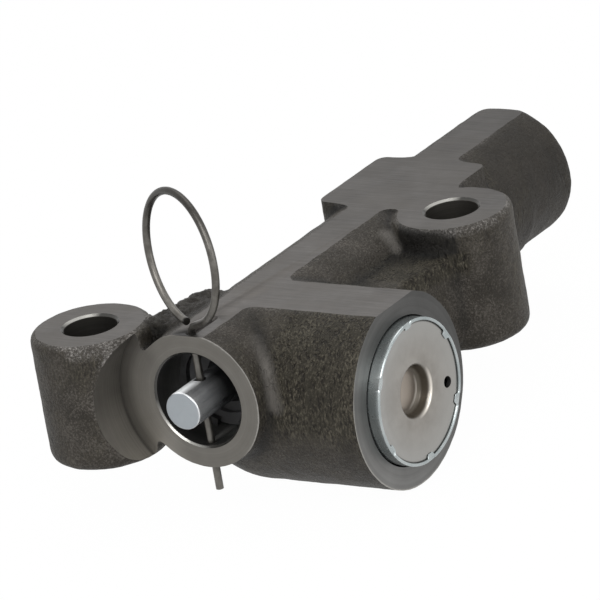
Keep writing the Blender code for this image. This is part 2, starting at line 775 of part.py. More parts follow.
def make_return_spring(finish):
    """Strong spring between the plunger and the blind end of the bore."""
    outer = PRESSURE_BORE_RADIUS - GAP
    points = coil("X", (0.0, 0.0, 0.0), PLUNGER_BACK_X + GAP, BORE_END_X - GAP,
                  outer - SPRING_WIRE - GAP, SPRING_WIRE, SPRING_TURNS, COIL_FACETS)
    wire("return_spring", points, SPRING_WIRE, 1, finish["spring_steel"])


def cup_section(rim_y, foot_y, outer):
    """Section of the cap cup: a tube with its front edge rolled inwards."""
    inner = outer - CUP_SHEET
    profile = [(foot_y, inner), (foot_y, outer)]
    profile += arc(rim_y + CUP_SHEET, outer - CUP_SHEET, CUP_SHEET, 90.0, 180.0, EDGE_STEPS)
    profile += [
        (rim_y, inner - CUP_RIM_LIP),
        (rim_y + CUP_RIM_LIP, inner - CUP_RIM_LIP),
        (rim_y + CUP_RIM_LIP, inner),
    ]
    return profile


def disc_section(front_y, edge):
    """Section of the dished cap disc, from inside the dimple round its edge to the front."""
    back_y = front_y + CAP_DISC_SHEET
    bend = DIMPLE_SHOULDER
    wall = DIMPLE_RADIUS + bend
    floor_y = front_y + DIMPLE_DEPTH
    front = [(front_y, edge)]
    front += arc(front_y + bend, wall, bend, 180.0, 270.0, EDGE_STEPS)
    front.append((floor_y, DIMPLE_RADIUS))
    back_wall = DIMPLE_RADIUS + CAP_DISC_SHEET
    back = [
        (floor_y + CAP_DISC_SHEET, back_wall - bend / 2.0),
        (floor_y + CAP_DISC_SHEET - bend / 2.0, back_wall),
        (back_y, back_wall),
        (back_y, edge),
    ]
    return back + front


def make_reservoir(finish):
    """Cap cup, cap disc, light spring, follower and rubber diaphragm."""
    centre = (RESERVOIR_X, 0.0, -RESERVOIR_DROP)
    face = -RESERVOIR_FACE
    rim_y = face - CUP_PROUD
    seat_y = face + CAP_BORE_DEPTH
    bead_y = seat_y - GAP - DIAPHRAGM_RUBBER
    foot_y = bead_y - GAP
    cup_outer = CAP_BORE_RADIUS - GAP
    to_object("cap_cup", turned(cup_section(rim_y, foot_y, cup_outer), "Y", BORE_FACETS, centre,
                                ring=True), finish["zinc_plate"])

    disc_front = rim_y + CUP_RIM_LIP + GAP
    disc_edge = cup_outer - CUP_SHEET - GAP
    disc_shape = turned(disc_section(disc_front, disc_edge), "Y", BORE_FACETS, centre)
    disc = to_object("cap_disc", disc_shape, finish["zinc_plate"])
    vent = rod_shape("Y", disc_front - RUN_OUT, disc_front + RUN_OUT, VENT_RADIUS,
                     DRILL_FACETS, (centre[0] + VENT_OFFSET, 0.0, centre[2] - VENT_DROP))
    cut_all(disc, {"cap_vent": vent})

    floor_y = bead_y
    roll_out = OIL_BORE_RADIUS - GAP
    roll_in = FOLLOWER_RADIUS + GAP
    top_y = floor_y + DIAPHRAGM_ROLL
    skin = DIAPHRAGM_RUBBER
    profile = [
        (floor_y, roll_in),
        (top_y, roll_in + skin / 2.0),
        (top_y, roll_out - skin),
        (floor_y, roll_out - skin / 2.0),
        (floor_y, cup_outer),
        (floor_y + skin, cup_outer),
        (floor_y + skin, roll_out),
        (top_y + skin, roll_out),
        (top_y + skin, roll_in - skin / 2.0),
        (floor_y + skin, roll_in - skin / 2.0),
    ]
    to_object("reservoir_diaphragm", turned(profile, "Y", INNER_FACETS, centre),
              finish["seal_rubber"])

    plate_back = floor_y - GAP
    plate_front = plate_back - FOLLOWER_SHEET
    profile = [
        (plate_front, FOLLOWER_RADIUS),
        (plate_back, FOLLOWER_RADIUS),
    ]
    to_object("diaphragm_plate", turned(profile, "Y", INNER_FACETS, centre),
              finish["ground_steel"])

    disc_back = disc_front + CAP_DISC_SHEET
    points = coil("Y", centre, disc_back + GAP, plate_front - GAP, LIGHT_SPRING_RADIUS,
                  LIGHT_SPRING_WIRE, LIGHT_SPRING_TURNS, COIL_FACETS)
    wire("reservoir_spring", points, LIGHT_SPRING_WIRE, 1, finish["spring_steel"])


def pin_path():
    """Centre line of the locking pin: tip, straight shank, bend and the pull ring."""
    ring_centre = Vector((PIN_X + PIN_RING_SHIFT_X, PIN_RING_SHIFT_Y, PIN_RING_HEIGHT))
    across = Vector((math.sin(PIN_RING_TURN), math.cos(PIN_RING_TURN), 0.0))
    face = Vector((math.cos(PIN_RING_TURN), -math.sin(PIN_RING_TURN), 0.0))
    lean = Matrix.Rotation(PIN_RING_LEAN, 3, across)
    rise = lean @ Vector((0.0, 0.0, 1.0))
    if rise.dot(face) < 0.0:
        rise = lean.inverted() @ Vector((0.0, 0.0, 1.0))
    shank_top = Vector((PIN_X, 0.0, TOP_PLANE))
    points = [Vector((PIN_X, 0.0, -PIN_TIP_BELOW)), shank_top]
    ring_start = ring_centre + PIN_RING_RADIUS * (
        across * math.cos(PIN_RING_START) + rise * math.sin(PIN_RING_START))
    heading = across * math.sin(PIN_RING_START) - rise * math.cos(PIN_RING_START)
    handles = (shank_top, shank_top + Vector((0.0, 0.0, PIN_BEND_RISE)),
               ring_start - heading * PIN_BEND_PULL, ring_start)
    for step in range(1, PIN_BEND_STEPS + 1):
        t = step / PIN_BEND_STEPS
        s = 1.0 - t
        points.append(handles[0] * s ** 3 + handles[1] * (3.0 * s * s * t)
                      + handles[2] * (3.0 * s * t * t) + handles[3] * t ** 3)
    for step in range(1, PIN_RING_STEPS + 1):
        angle = PIN_RING_START - PIN_RING_SWEEP * step / PIN_RING_STEPS
        points.append(ring_centre + PIN_RING_RADIUS * (
            across * math.cos(angle) + rise * math.sin(angle)))
    return points


def make_pin(finish):
    """Locking pin bent from one length of spring wire, on its own pull axis."""
    axis = bpy.data.objects.new("pin_axis", None)
    bpy.context.scene.collection.objects.link(axis)
    axis.location = (PIN_X, 0.0, 0.0)
    offset = Vector(axis.location)
    points = [point - offset for point in pin_path()]
    pin = wire("retaining_pin", points, WIRE_RADIUS, 2, finish["pin_wire"])
    pin.parent = axis


def main():
    """Build every piece of the tensioner."""
    clear_scene()
    finish = make_materials()
    make_housing(finish)
    plunger = make_plunger(finish)
    make_rod(finish, plunger)
    make_gland(finish)
    make_return_spring(finish)
    make_reservoir(finish)
    make_pin(finish)


main()
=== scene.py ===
"""Looks of the hydraulic timing belt tensioner.

An iron casting with machined faces, a chromed rod held in by a wire pin, and a zinc plated
reservoir cap. Lengths are in metres, in the frame of the solids: the origin is the centre of the
rod's tip, +X runs into the casting, the cap looks towards -Y and the milled plane looks up.
"""

import math
from collections import namedtuple

import bmesh
import bpy
import numpy as np
from mathutils import Matrix, Quaternion, Vector, kdtree, noise


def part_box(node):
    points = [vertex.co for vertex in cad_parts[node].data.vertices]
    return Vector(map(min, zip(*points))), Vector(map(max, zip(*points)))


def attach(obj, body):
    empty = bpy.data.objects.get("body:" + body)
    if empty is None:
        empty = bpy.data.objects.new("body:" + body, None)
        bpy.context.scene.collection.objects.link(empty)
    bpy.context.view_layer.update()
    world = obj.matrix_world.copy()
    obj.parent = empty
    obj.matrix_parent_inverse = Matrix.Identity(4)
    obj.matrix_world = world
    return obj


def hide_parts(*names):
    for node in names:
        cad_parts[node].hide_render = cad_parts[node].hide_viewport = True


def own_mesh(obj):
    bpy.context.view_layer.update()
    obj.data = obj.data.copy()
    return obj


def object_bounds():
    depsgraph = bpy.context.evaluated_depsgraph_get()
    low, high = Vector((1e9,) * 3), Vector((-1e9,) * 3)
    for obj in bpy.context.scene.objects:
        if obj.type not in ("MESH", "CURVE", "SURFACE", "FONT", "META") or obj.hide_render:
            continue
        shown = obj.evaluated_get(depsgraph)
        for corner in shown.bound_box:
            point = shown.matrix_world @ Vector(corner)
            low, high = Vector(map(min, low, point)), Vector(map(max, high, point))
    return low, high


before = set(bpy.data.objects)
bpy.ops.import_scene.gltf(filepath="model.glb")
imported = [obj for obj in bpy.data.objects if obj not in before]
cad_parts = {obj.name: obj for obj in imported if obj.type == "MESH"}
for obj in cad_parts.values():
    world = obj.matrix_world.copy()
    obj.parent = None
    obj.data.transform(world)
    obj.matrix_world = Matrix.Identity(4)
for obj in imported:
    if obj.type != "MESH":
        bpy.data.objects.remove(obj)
solid_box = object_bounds()

# View of the photograph, taken with a long lens
SENSOR_WIDTH = 36.0
CAMERA_LENS = 463.5
CAMERA_AZIMUTH = math.radians(-53.635)
CAMERA_ELEVATION = math.radians(20.933)
CAMERA_ROLL = math.radians(9.892)
CAMERA_DISTANCE = 1.5763
CAMERA_AIM = Vector((0.0531, 0.0058, 0.0014))
CAMERA_REACH = 20.0

# Studio: pale floor, the room's light by height, and each lamp's direction, distance, size, power
WHITE = (1.0, 1.0, 1.0, 1.0)
FLOOR_GAP = 0.0003
FLOOR_HALF_SIZE = 6.0
FLOOR_COLOUR = (0.80, 0.80, 0.80, 1.0)
FLOOR_ROUGHNESS = 0.9
FLOOR_GLOW = 0.985
ROOM_LIGHT = (-0.2, 0.9, 0.30, 0.85)
SOFT_LIGHTS = {
    "key_light": ((-0.75, -0.35, 0.75), 0.9, 0.55, 4.5),
    "fill_light": ((-0.10, -1.0, 0.35), 1.0, 0.60, 2.4),
    "top_light": ((0.35, 0.25, 1.0), 0.9, 0.60, 2.2),
}

# Places read from the solids
ORIGIN = (0.0, 0.0, 0.0)
HOUSING_LOW, HOUSING_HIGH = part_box("housing")
ROD_LOW, ROD_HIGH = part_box("plunger_rod")
CUP_LOW, CUP_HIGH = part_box("cap_cup")
TOP_PLANE = HOUSING_HIGH.z
BARREL_END_X = HOUSING_HIGH.x
RESERVOIR_FACE_Y = HOUSING_LOW.y
RESERVOIR_X = (CUP_LOW.x + CUP_HIGH.x) / 2.0
RESERVOIR_Z = (CUP_LOW.z + CUP_HIGH.z) / 2.0
RESERVOIR_CENTRE = (RESERVOIR_X, 0.0, RESERVOIR_Z)
CUP_RADIUS = (CUP_HIGH.x - CUP_LOW.x) / 2.0
RESERVOIR_RADIUS = RESERVOIR_Z - HOUSING_LOW.z
ROD_RADIUS = ROD_HIGH.z

# Gap between neighbours, and how far a cutter or blank runs past a face
GAP = 0.0003
RUN_OUT = 0.0030

# Main barrel and its stepped bore
MOUTH_X = 0.0056
BARREL_RADIUS = 0.0145
REAR_RADIUS = 0.0143
REAR_RISE = 0.0005
REAR_LENGTH = 0.0330
REAR_EDGE = 0.0014
MOUTH_BORE_RADIUS = 0.0100
MOUTH_BORE_DEPTH = 0.0217
MOUTH_CHAMFER = 0.0004
PRESSURE_BORE_RADIUS = 0.0092
END_WALL = 0.0070
SPOT_FACE_RADIUS = 0.0185
# Radii over which the mouth face is darkened towards the spot face's wall: painted shade
MOUTH_SHADE_START = 0.0150
MOUTH_SHADE_STOP = 0.0172
SHOULDER_X = MOUTH_X + MOUTH_BORE_DEPTH
BORE_END_X = BARREL_END_X - END_WALL

# Bolt bosses; the arc of a rounded top edge stops, in degrees, where the milling cuts it off
BOSS_RADIUS = 0.0124
BOSS_HEIGHT = 0.0271
LEFT_BOSS_EDGE = 0.0015
RIGHT_BOSS_EDGE = 0.0012
BOSS_EDGE_STOP = 15.0
MILLING_SPARE = 0.0005
BOSS_FOOT_EDGE = 0.0021
BOLT_HOLE_RADIUS = 0.0055
BOLT_HOLE_CHAMFER = 0.0005
LEFT_BOSS = (0.0069, 0.0243)
RIGHT_BOSS = (0.0763, -0.0189)
BOSS_FOOT_Z = TOP_PLANE - BOSS_HEIGHT

# Flange, webs and the raised pad beside the mouth
PLATE_FRONT = 0.0747
PLATE_BACK = 0.0996
PLATE_WIDTH = 0.0262
PLATE_THICKNESS = 0.0075
PLATE_CORNER = 0.0020
LEFT_WEB_START = 0.0006
LEFT_WEB_LENGTH = 0.0170
LEFT_WEB_HEIGHT = 0.0176
LEFT_WEB_WAIST = 0.0128
LEFT_WEB_FLARE = 0.0030
RIGHT_WEB_TOP = 0.0079
RIGHT_WEB_HEIGHT = 0.0185
RIGHT_WEB_OUT = 0.0215
RIGHT_WEB_MEET_X = 0.0074
RIGHT_WEB_MEET_Y = 0.0068
PAD_FRONT = 0.0115
PAD_BACK = 0.0300
PAD_TOP = 0.0132
PAD_OUT_FRONT = 0.0152
PAD_OUT_BACK = 0.0124
PAD_CORNER = 0.0022
PAD_BROKEN_SIZE = 0.0022
PAD_BROKEN_HEIGHT = 0.0009
PAD_BROKEN_RISE = 0.0005

# Reservoir barrel and its bores
RESERVOIR_FAR_END = 0.0120
RESERVOIR_FAR_EDGE = 0.0160
CAP_BORE_RADIUS = 0.0153
CAP_BORE_DEPTH = 0.0092
OIL_BORE_RADIUS = 0.0130
OIL_BORE_DEPTH = 0.0200
OIL_DUCT_RADIUS = 0.0012

# Locking pin
WIRE_RADIUS = 0.0008
PIN_X = 0.0077
PIN_TIP_Z = -0.0201
PIN_RING_RADIUS = 0.0137
PIN_RING_CENTRE = Vector((0.0071, -0.0010, 0.0303))
PIN_RING_TURN = math.radians(26.6)
PIN_RING_LEAN = math.radians(3.4)
PIN_RING_START = math.radians(-135.0)
PIN_RING_SWEEP = math.radians(312.0)
PIN_BEND_RISE = 0.0022
PIN_BEND_PULL = 0.0050
PIN_SLOT_LENGTH = 0.0070
PIN_SLOT_DEPTH = 0.0014

# Rod
ROD_CHAMFER = 0.0004
ROD_PLAY = 0.0005

# Reservoir cap
CUP_SHEET = 0.0011
CUP_RIM_WIDTH = 0.0007
CUP_RIM_EDGE = 0.0003
DISC_SINK = 0.0005
DISC_DISH = 0.0004
DISC_DISH_WIDTH = 0.0030
CAP_DISC_SHEET = 0.0012
DIMPLE_RADIUS = 0.0052
DIMPLE_DEPTH = 0.0034
DIMPLE_SHOULDER = 0.0011
VENT_RADIUS = 0.0012
VENT_OFFSET = 0.0109
VENT_DROP = 0.0026
STAKE_FIRST = math.radians(31.0)
STAKE_COUNT = 6
STAKE_HALF_WIDTH = math.radians(3.2)
STAKE_FOOT = 1.6 * STAKE_HALF_WIDTH
STAKE_FADE = 0.6 * STAKE_HALF_WIDTH
STAKE_REACH = 0.0008
STAKE_PRESS = 0.0003

# Fineness of the surfaces: the mould's voxels, smoothing, waves and grit, and steps of the arcs
CAST_VOXEL = 0.0005
CAST_LIGHT_ROUNDS = 5
CAST_FILLET_ROUNDS = 40
# Depth of concavity that gets the full painted shade on the cast skin
HOLLOW_DEPTH = 0.0007
CAST_WAVE_SIZE = 0.0035
CAST_WAVE_HEIGHT = 0.00009
CAST_GRIT_SIZE = 0.0011
CAST_GRIT_HEIGHT = 0.00004
TURNED_FACETS = 128
TIP_STEPS = 5
EDGE_STEPS = 6
BEND_STEPS = 8
SLOT_STEPS = 12
DOME_STEPS = 16
PIN_BEND_STEPS = 12
PIN_RING_STEPS = 96
PIN_ROUND_STEPS = 7
SMOOTH_ANGLE = math.radians(32.0)

# Zones of the cast skin: spans along X, Y and Z and the width of the soft edge
PITTED_ZONES = (
    ({"X": (0.0, 0.0440), "Y": (-0.0360, -0.0160), "Z": (-0.0060, 0.0150)}, 0.0060),
    ({"X": (0.0520, 0.0670), "Y": (-0.0270, -0.0120), "Z": (0.0050, 0.0082)}, 0.0020),
)
# The pad with its darker tone, then painted shade in the pocket below the right boss and on the
# skin in front of the flange, each with its tone
SHADED_ZONES = (
    ({"X": (0.0110, 0.0305), "Y": (0.0055, 0.0150), "Z": (0.0122, 0.0150)}, 0.0010, 0.55),
    ({"X": (0.0600, 0.0700), "Y": (-0.0255, -0.0125), "Z": (0.0089, 0.0136)}, 0.0008, 0.22),
    ({"X": (0.0740, 0.0752), "Y": (0.0030, 0.0085), "Z": (0.0060, 0.0150)}, 0.0012, 0.35),
)
# Frosted rims of the right and left boss, with their strengths
FROSTED_ZONES = (
    ({"X": (0.0660, 0.0740), "Y": (-0.0330, -0.0235), "Z": (0.0132, 0.0150)}, 0.0014, 0.55),
    ({"X": (-0.0060, 0.0010), "Y": (0.0135, 0.0210), "Z": (0.0124, 0.0150)}, 0.0018, 0.62),
)
# Painted highlights on fillets that face the light: each runs from a start to a stop, with its
# width and its strength at both ends.
# The core is the share of the width that has the full strength.
FILLET_HIGHLIGHTS = (
    ((0.0661, -0.0089, 0.0115), (0.0650, -0.0115, 0.0090), 0.0022, 1.0, 0.85),
    ((0.0140, -0.0101, 0.0104), (0.0114, -0.0141, 0.0052), 0.0022, 0.35, 1.0),
    ((0.0114, -0.0141, 0.0052), (0.0090, -0.0165, -0.0016), 0.0022, 1.0, 0.80),
)
STREAK_CORE = 0.25

# Cast skin. A ramp holds where it starts and stops, then its value at both ends.
SKIN_TONES = ((0.018, 0.015, 0.011), (0.037, 0.032, 0.026))
SKIN_FLECK = (0.095, 0.086, 0.074)
PITTED_TONES = ((0.021, 0.018, 0.012), (0.008, 0.006, 0.004))
PITTED_FLECK = (0.094, 0.084, 0.062)
# Tone of the painted highlights on the fillets
FILLET_HIGHLIGHT_TONE = (0.094, 0.087, 0.078)
WORN_TONES = ((0.055, 0.050, 0.045), (0.340, 0.325, 0.310))
PITTED_PATCH_SIZE = 95.0
PITTED_PATCHES = (0.3, 0.9, 0.0, 0.6)
FLECK_RAMP = (0.0900, 0.1050, 1.0, 0.35)
# Painted shade towards the rear end of the casting
REAR_SHADE = (0.0950, 0.1100, 1.0, 0.72)
# Painted shade in the hollows of the skin
HOLLOW_SHADE_TONE = 0.30
SKIN_ROUGHNESS = (0.50, 0.62)
RUBBED_WIDTH = 0.0018
WORN_PATCH_SIZE = 75.0
WORN_HEIGHT = (0.0080, 0.0105, 0.20, 1.0)
WORN_LEFT = (0.0, 0.0100, 0.30, 1.0)
WORN_RIGHT = (0.0620, 0.0680, 0.0, 1.0)
WORN_REAR = (0.0920, 0.0880, 0.2, 1.0)

# Milled plane
MILLED_TONES = ((0.064, 0.060, 0.057), (0.124, 0.117, 0.111))
MILLED_PATCH = (0.086, 0.079, 0.072)
MILLED_PATCH_SIZE = 110.0
MILLED_CLOUD_SIZE = 48.0
MILLED_CLOUDS = (1.06, 0.84)
MILLED_ROUGHNESS = (0.58, 0.46)
# Darker towards the rear end of the plane
MILLED_REAR_DARKENING = (PLATE_FRONT / 2.0, BARREL_END_X, 1.08, 0.62)
GREASE_PLACE = (PIN_X - 0.0012, 0.0008, TOP_PLANE)
GREASE_RAMP = (0.0016, 0.0036, 0.30, 1.0)

# Turned faces: painted shade in corners and seams, painted highlights on rims and on fresh
# chamfers.
# A fresh cut's tone starts within a few hundredths of a millimetre.
FRESH_CUT = 0.00004
TURNED_ROUGHNESS = (0.46, 0.34)
GROUND_ROUGHNESS = (0.40, 0.28)
BARREL_LATHE = {"Centre": ORIGIN, "Across": (0.0, 1.0, 1.0), "Along": (1.0, 0.0, 0.0)}
RESERVOIR_LATHE = {"Centre": RESERVOIR_CENTRE, "Across": (1.0, 0.0, 1.0),
                   "Along": (0.0, 1.0, 0.0)}
SEAM_START = 0.0004
SEAM_STOP = 0.0001
# Painted shade in the joint between the disc and the cup's rim
SEAM_SHADE_TONE = 0.15
# Heights of the wall beside a corner between its lower and upper painted tones
CORNER_LEVELS = (-0.0050, 0.0010)
# Painted shade in a corner
CORNER_SHADE = 0.85
# A painted highlight along the lit side of a turned face's outer edge
RIM_TONE = (0.31, 0.30, 0.28)
RIM_LINE_IN = 0.0002
RIM_LINE_OUT = 0.0001
RIM_GRIT_SCALE = 1500.0
RIM_GRIT_SIZE = 0.0004
RIM_LIT_START = 0.1
RIM_LIT_STOP = 0.6
# A fresh chamfer's tone, with a painted highlight on its lit side
CHAMFER_TONE = (0.50, 0.49, 0.46)
CHAMFER_LIT_START = 0.70
CHAMFER_SHARES = (0.12, 0.85)
CHAMFER_SMOOTHER = 0.12

# Zinc of the cap, with the oil film and the painted highlights on the bends of the dimple
ZINC_METALLIC = 0.95
ZINC_PATCH_SIZE = 190.0
ZINC_DULLER = 0.10
OIL_METALLIC = 0.45
OIL_FILM_EDGE = 0.0004
OIL_FILM_START = 0.0006
OIL_FILM_STOP = 0.0020
DISC_SEAM = CUP_RADIUS - CUP_RIM_WIDTH
DISC_PALE = (0.318, 0.313, 0.298)
DISC_PALE_RAMP = (1.3 * DIMPLE_RADIUS, 0.95 * DISC_SEAM)
# Tones of the dimple, an oil film dark on its wall and paler on its floor; the dark of the wall is
# partly painted shade
DIMPLE_TONES = ((0.080, 0.068, 0.052), (0.350, 0.308, 0.266))
DIMPLE_LIT_SIDE = (0.88, 0.0, -0.48)
DIMPLE_LIT_RAMP = (0.45 * DIMPLE_RADIUS, 0.95 * DIMPLE_RADIUS)
DIMPLE_CORNER = DIMPLE_RADIUS - DIMPLE_SHOULDER
# Radii between which the rolled lip and the bend at the dimple's floor get a painted highlight
DIMPLE_ROLLED = (DIMPLE_RADIUS + 0.0001, DIMPLE_RADIUS + 0.0004,
                 DIMPLE_RADIUS + 0.0005, DIMPLE_RADIUS + 0.0008)
DIMPLE_BENT = (DIMPLE_CORNER - 0.0003, DIMPLE_CORNER,
               DIMPLE_CORNER + 0.0002, DIMPLE_CORNER + 0.0005)
DIMPLE_BENT_SHARE = 0.9
# Tone of the painted highlight on the dimple's bends
DIMPLE_HIGHLIGHT_TONE = (0.66, 0.62, 0.56)

# Chrome of the rod: painted shade deeper in the bore and painted highlights on its upper side and
# tip
# Painted shade that darkens the rod deeper in the bore
ROD_BORE_SHADE = (0.0045, 0.0110, 1.0, 0.12)
# Painted highlight streak along the rod's upper side
ROD_HIGHLIGHT_SIDE = (0.0, 0.16, 0.99)
ROD_HIGHLIGHT_RAMP = (0.88 * ROD_RADIUS, 0.99 * ROD_RADIUS)
ROD_EDGE_RAMP = (1.1 * ROD_CHAMFER, 0.7 * ROD_CHAMFER)
ROD_LIT_SIDE = (0.0, -0.85, 0.53)
ROD_LIT_RAMP = (0.2 * ROD_RADIUS, 0.9 * ROD_RADIUS, 0.0, 0.5)
# Tone and metallic of the rod's painted highlights
ROD_HIGHLIGHT_TONE = (0.86, 0.88, 0.89)
ROD_HIGHLIGHT_METALLIC = 0.15
CHROME_DULLER = 0.06
CHROME_SMOOTHER = 0.04

# Wire of the locking pin, with painted shade towards the top of the pull ring and at its free end
WIRE_PATCH_SIZE = 420.0
WIRE_DULLER = 0.12
# Painted shade towards the top of the pull ring
RING_TOP_SHADE = (PIN_RING_CENTRE.z, PIN_RING_CENTRE.z + PIN_RING_RADIUS, 1.20, 0.42)
# Painted shade at the free end of the wire
WIRE_END_SHADE = (WIRE_RADIUS, 1.3 * WIRE_RADIUS, 0.18, 1.0)

# Rubber, polymer and sintered bronze
MOULDED_DULLER = 0.1

# Shared surface effects. A smear holds the share of the cut lines, the smears' scale and share.
WORM_SHARE = 0.45
PIT_RANGE = (0.50, 0.36)
MOTTLE_SCALE = 150.0
MOTTLE_RANGE = (0.3, 0.7)
SPECK_MOTTLE = 0.35
SPECK_RANGE = (0.66, 0.86)
MARK_RANGE = (0.35, 0.85)
TOOL_SMEAR = (0.6, 90.0, 0.6)
TURNED_SMEAR = (0.7, 160.0, 0.5)
RUBBED_GRIT_SCALE = 2600.0
RUBBED_GRIT_SHARE = 1.6
RUBBED_RAMP = (0.85, 1.45, 1.0, 0.0)
SMUDGE_RANGE = (0.35, 0.7)

# Inputs of a Mix node that take its two colours
MIX_COLOURS = (6, 7)


def link(item):
    """Put an object into the scene and return it."""
    bpy.context.scene.collection.objects.link(item)
    return item


def to_object(name, bm, materials):
    """Turn a bmesh into a smooth-shaded object with its sharp edges kept."""
    bmesh.ops.recalc_face_normals(bm, faces=bm.faces)
    mesh = bpy.data.meshes.new(name)
    bm.to_mesh(mesh)
    bm.free()
    mesh.shade_smooth()
    mesh.set_sharp_from_angle(angle=SMOOTH_ANGLE)
    for material in materials:
        mesh.materials.append(material)
    return link(bpy.data.objects.new(name, mesh))


def arc(centre_a, centre_r, radius, start, stop, steps):
    """Points of a circular arc in a profile, angles in degrees from the axis direction."""
    points = []
    for step in range(steps + 1):
        angle = math.radians(start + (stop - start) * step / steps)
        points.append((centre_a + radius * math.cos(angle), centre_r + radius * math.sin(angle)))
    return points


AXIS_FRAMES = {
    "X": (Vector((1.0, 0.0, 0.0)), Vector((0.0, 0.0, 1.0))),
    "Y": (Vector((0.0, 1.0, 0.0)), Vector((0.0, 0.0, 1.0))),
    "Z": (Vector((0.0, 0.0, 1.0)), Vector((1.0, 0.0, 0.0))),
}


def turned(profile, axis, centre=ORIGIN, ring=False, facets=TURNED_FACETS):
    """Spin a profile of (along, radius) points round an axis through centre."""
    along, outward = AXIS_FRAMES[axis]
    origin = Vector(centre)
    bm = bmesh.new()
    verts = [bm.verts.new(origin + along * a + outward * r) for a, r in profile]
    edges = [bm.edges.new(pair) for pair in zip(verts, verts[1:])]
    if ring:
        edges.append(bm.edges.new((verts[-1], verts[0])))
    bmesh.ops.spin(bm, geom=verts + edges, cent=origin, axis=along, angle=2.0 * math.pi,
                   steps=facets, use_merge=True)
    if not ring:
        bmesh.ops.holes_fill(bm, edges=bm.edges)
    return bm


def prism(outline, axis, start, stop):
    """Extrude a closed outline: (x, y) for Z, (y, z) for X and (x, z) for Y."""
    places = {
        "X": lambda a, b: (start, a, b),
        "Y": lambda a, b: (a, start, b),
        "Z": lambda a, b: (a, b, start),
    }
    bm = bmesh.new()
    face = bm.faces.new([bm.verts.new(places[axis](a, b)) for a, b in outline])
    grown = bmesh.ops.extrude_face_region(bm, geom=[face])
    moved = [item for item in grown["geom"] if isinstance(item, bmesh.types.BMVert)]
    bmesh.ops.translate(bm, verts=moved, vec=AXIS_FRAMES[axis][0] * (stop - start))
    return bm


def bar(axis, start, stop, radius, centre=ORIGIN):
    """A plain round bar between two stations on its axis."""
    along = AXIS_FRAMES[axis][0]
    middle = Vector(centre) + along * (start + stop) / 2.0
    turn = along.to_track_quat("Z", "Y").to_matrix().to_4x4()
    turn = turn @ Matrix.Rotation(math.pi / TURNED_FACETS, 4, "Z")
    bm = bmesh.new()
    bmesh.ops.create_cone(bm, cap_ends=True, segments=TURNED_FACETS, radius1=radius,
                          radius2=radius, depth=stop - start,
                          matrix=Matrix.Translation(middle) @ turn)
    return bm


def joined(shapes):
    """Collect several closed shapes in one bmesh."""
    whole = bmesh.new()
    for shape in shapes:
        mesh = bpy.data.meshes.new("shape")
        shape.to_mesh(mesh)
        shape.free()
        whole.from_mesh(mesh)
        bpy.data.meshes.remove(mesh)
    return whole


def settled(item):
    """Apply an object's modifiers to its mesh."""
    graph = bpy.context.evaluated_depsgraph_get()
    mesh = bpy.data.meshes.new_from_object(item.evaluated_get(graph))
    item.modifiers.clear()
    item.data = mesh


def cut(item, name, bm, material):
    """Take a shape out of an object; the cut faces get the given finish."""
    tool = to_object(name, bm, [material])
    modifier = item.modifiers.new(name, "BOOLEAN")
    modifier.operation = "DIFFERENCE"
    modifier.solver = "MANIFOLD"
    modifier.material_mode = "TRANSFER"
    modifier.object = tool
    return tool


def cut_all(item, cuts):
    """Take every named shape out of an object and clear the cutters away."""
    tools = [cut(item, name, bm, material) for name, (bm, material) in cuts.items()]
    settled(item)
    for tool in tools:
        bpy.data.objects.remove(tool, do_unlink=True)


def node(tree, kind, inputs=None, **settings):
    """Add a shader node; an input given as a socket is linked, any other value is set."""
    made = tree.nodes.new(kind)
    for name, value in settings.items():
        setattr(made, name, value)
    for name, value in (inputs or {}).items():
        if isinstance(value, bpy.types.NodeSocket):
            tree.links.new(value, made.inputs[name])
        else:
            made.inputs[name].default_value = value
    return made


def maths(tree, operation, first, second):
    """One Math node; returns its result."""
    return node(tree, "ShaderNodeMath", {0: first, 1: second}, operation=operation).outputs[0]


def times(tree, first, second):
    """Multiply two values."""
    return maths(tree, "MULTIPLY", first, second)


def larger(tree, first, second):
    """The larger of two values."""
    return maths(tree, "MAXIMUM", first, second)


def vector_maths(tree, operation, first, second):
    """One Vector Math node; returns its vector."""
    made = node(tree, "ShaderNodeVectorMath", {0: first, 1: second}, operation=operation)
    return made.outputs["Vector"]


def measured(tree, operation, first, second=ORIGIN):
    """One Vector Math node; returns its value."""
    made = node(tree, "ShaderNodeVectorMath", {0: first, 1: second}, operation=operation)
    return made.outputs["Value"]


def reach_along(tree, place, direction):
    """How far a place lies in a direction."""
    return measured(tree, "DOT_PRODUCT", place, direction)


def axes_of(tree, place):
    """The coordinates of a place, by their names X, Y and Z."""
    return node(tree, "ShaderNodeSeparateXYZ", {0: place}).outputs


def remapped(tree, value, low, high, to_low=0.0, to_high=1.0):
    """Clamp a value into a new range."""
    made = node(tree, "ShaderNodeMapRange", {"Value": value, "From Min": low, "From Max": high,
                                             "To Min": to_low, "To Max": to_high})
    return made.outputs["Result"]


def graded(tree, value, first, last):
    """Turn a value from zero to one into a range."""
    return remapped(tree, value, 0.0, 1.0, first, last)


def band(tree, value, low, first, last, high):
    """One from first to last, fading out towards low and high."""
    return times(tree, remapped(tree, value, low, first), remapped(tree, value, high, last))


def blended(tree, factor, first, second):
    """Mix two colours by a factor."""
    made = node(tree, "ShaderNodeMix", {"Factor": factor}, data_type="RGBA")
    for index, value in zip(MIX_COLOURS, (first, second)):
        if isinstance(value, bpy.types.NodeSocket):
            tree.links.new(value, made.inputs[index])
        else:
            made.inputs[index].default_value = (*value, 1.0)
    return made.outputs[2]


def shaded(tree, factor, colour):
    """Scale a colour or vector by a factor."""
    made = node(tree, "ShaderNodeVectorMath", {0: colour, "Scale": factor}, operation="SCALE")
    return made.outputs[0]


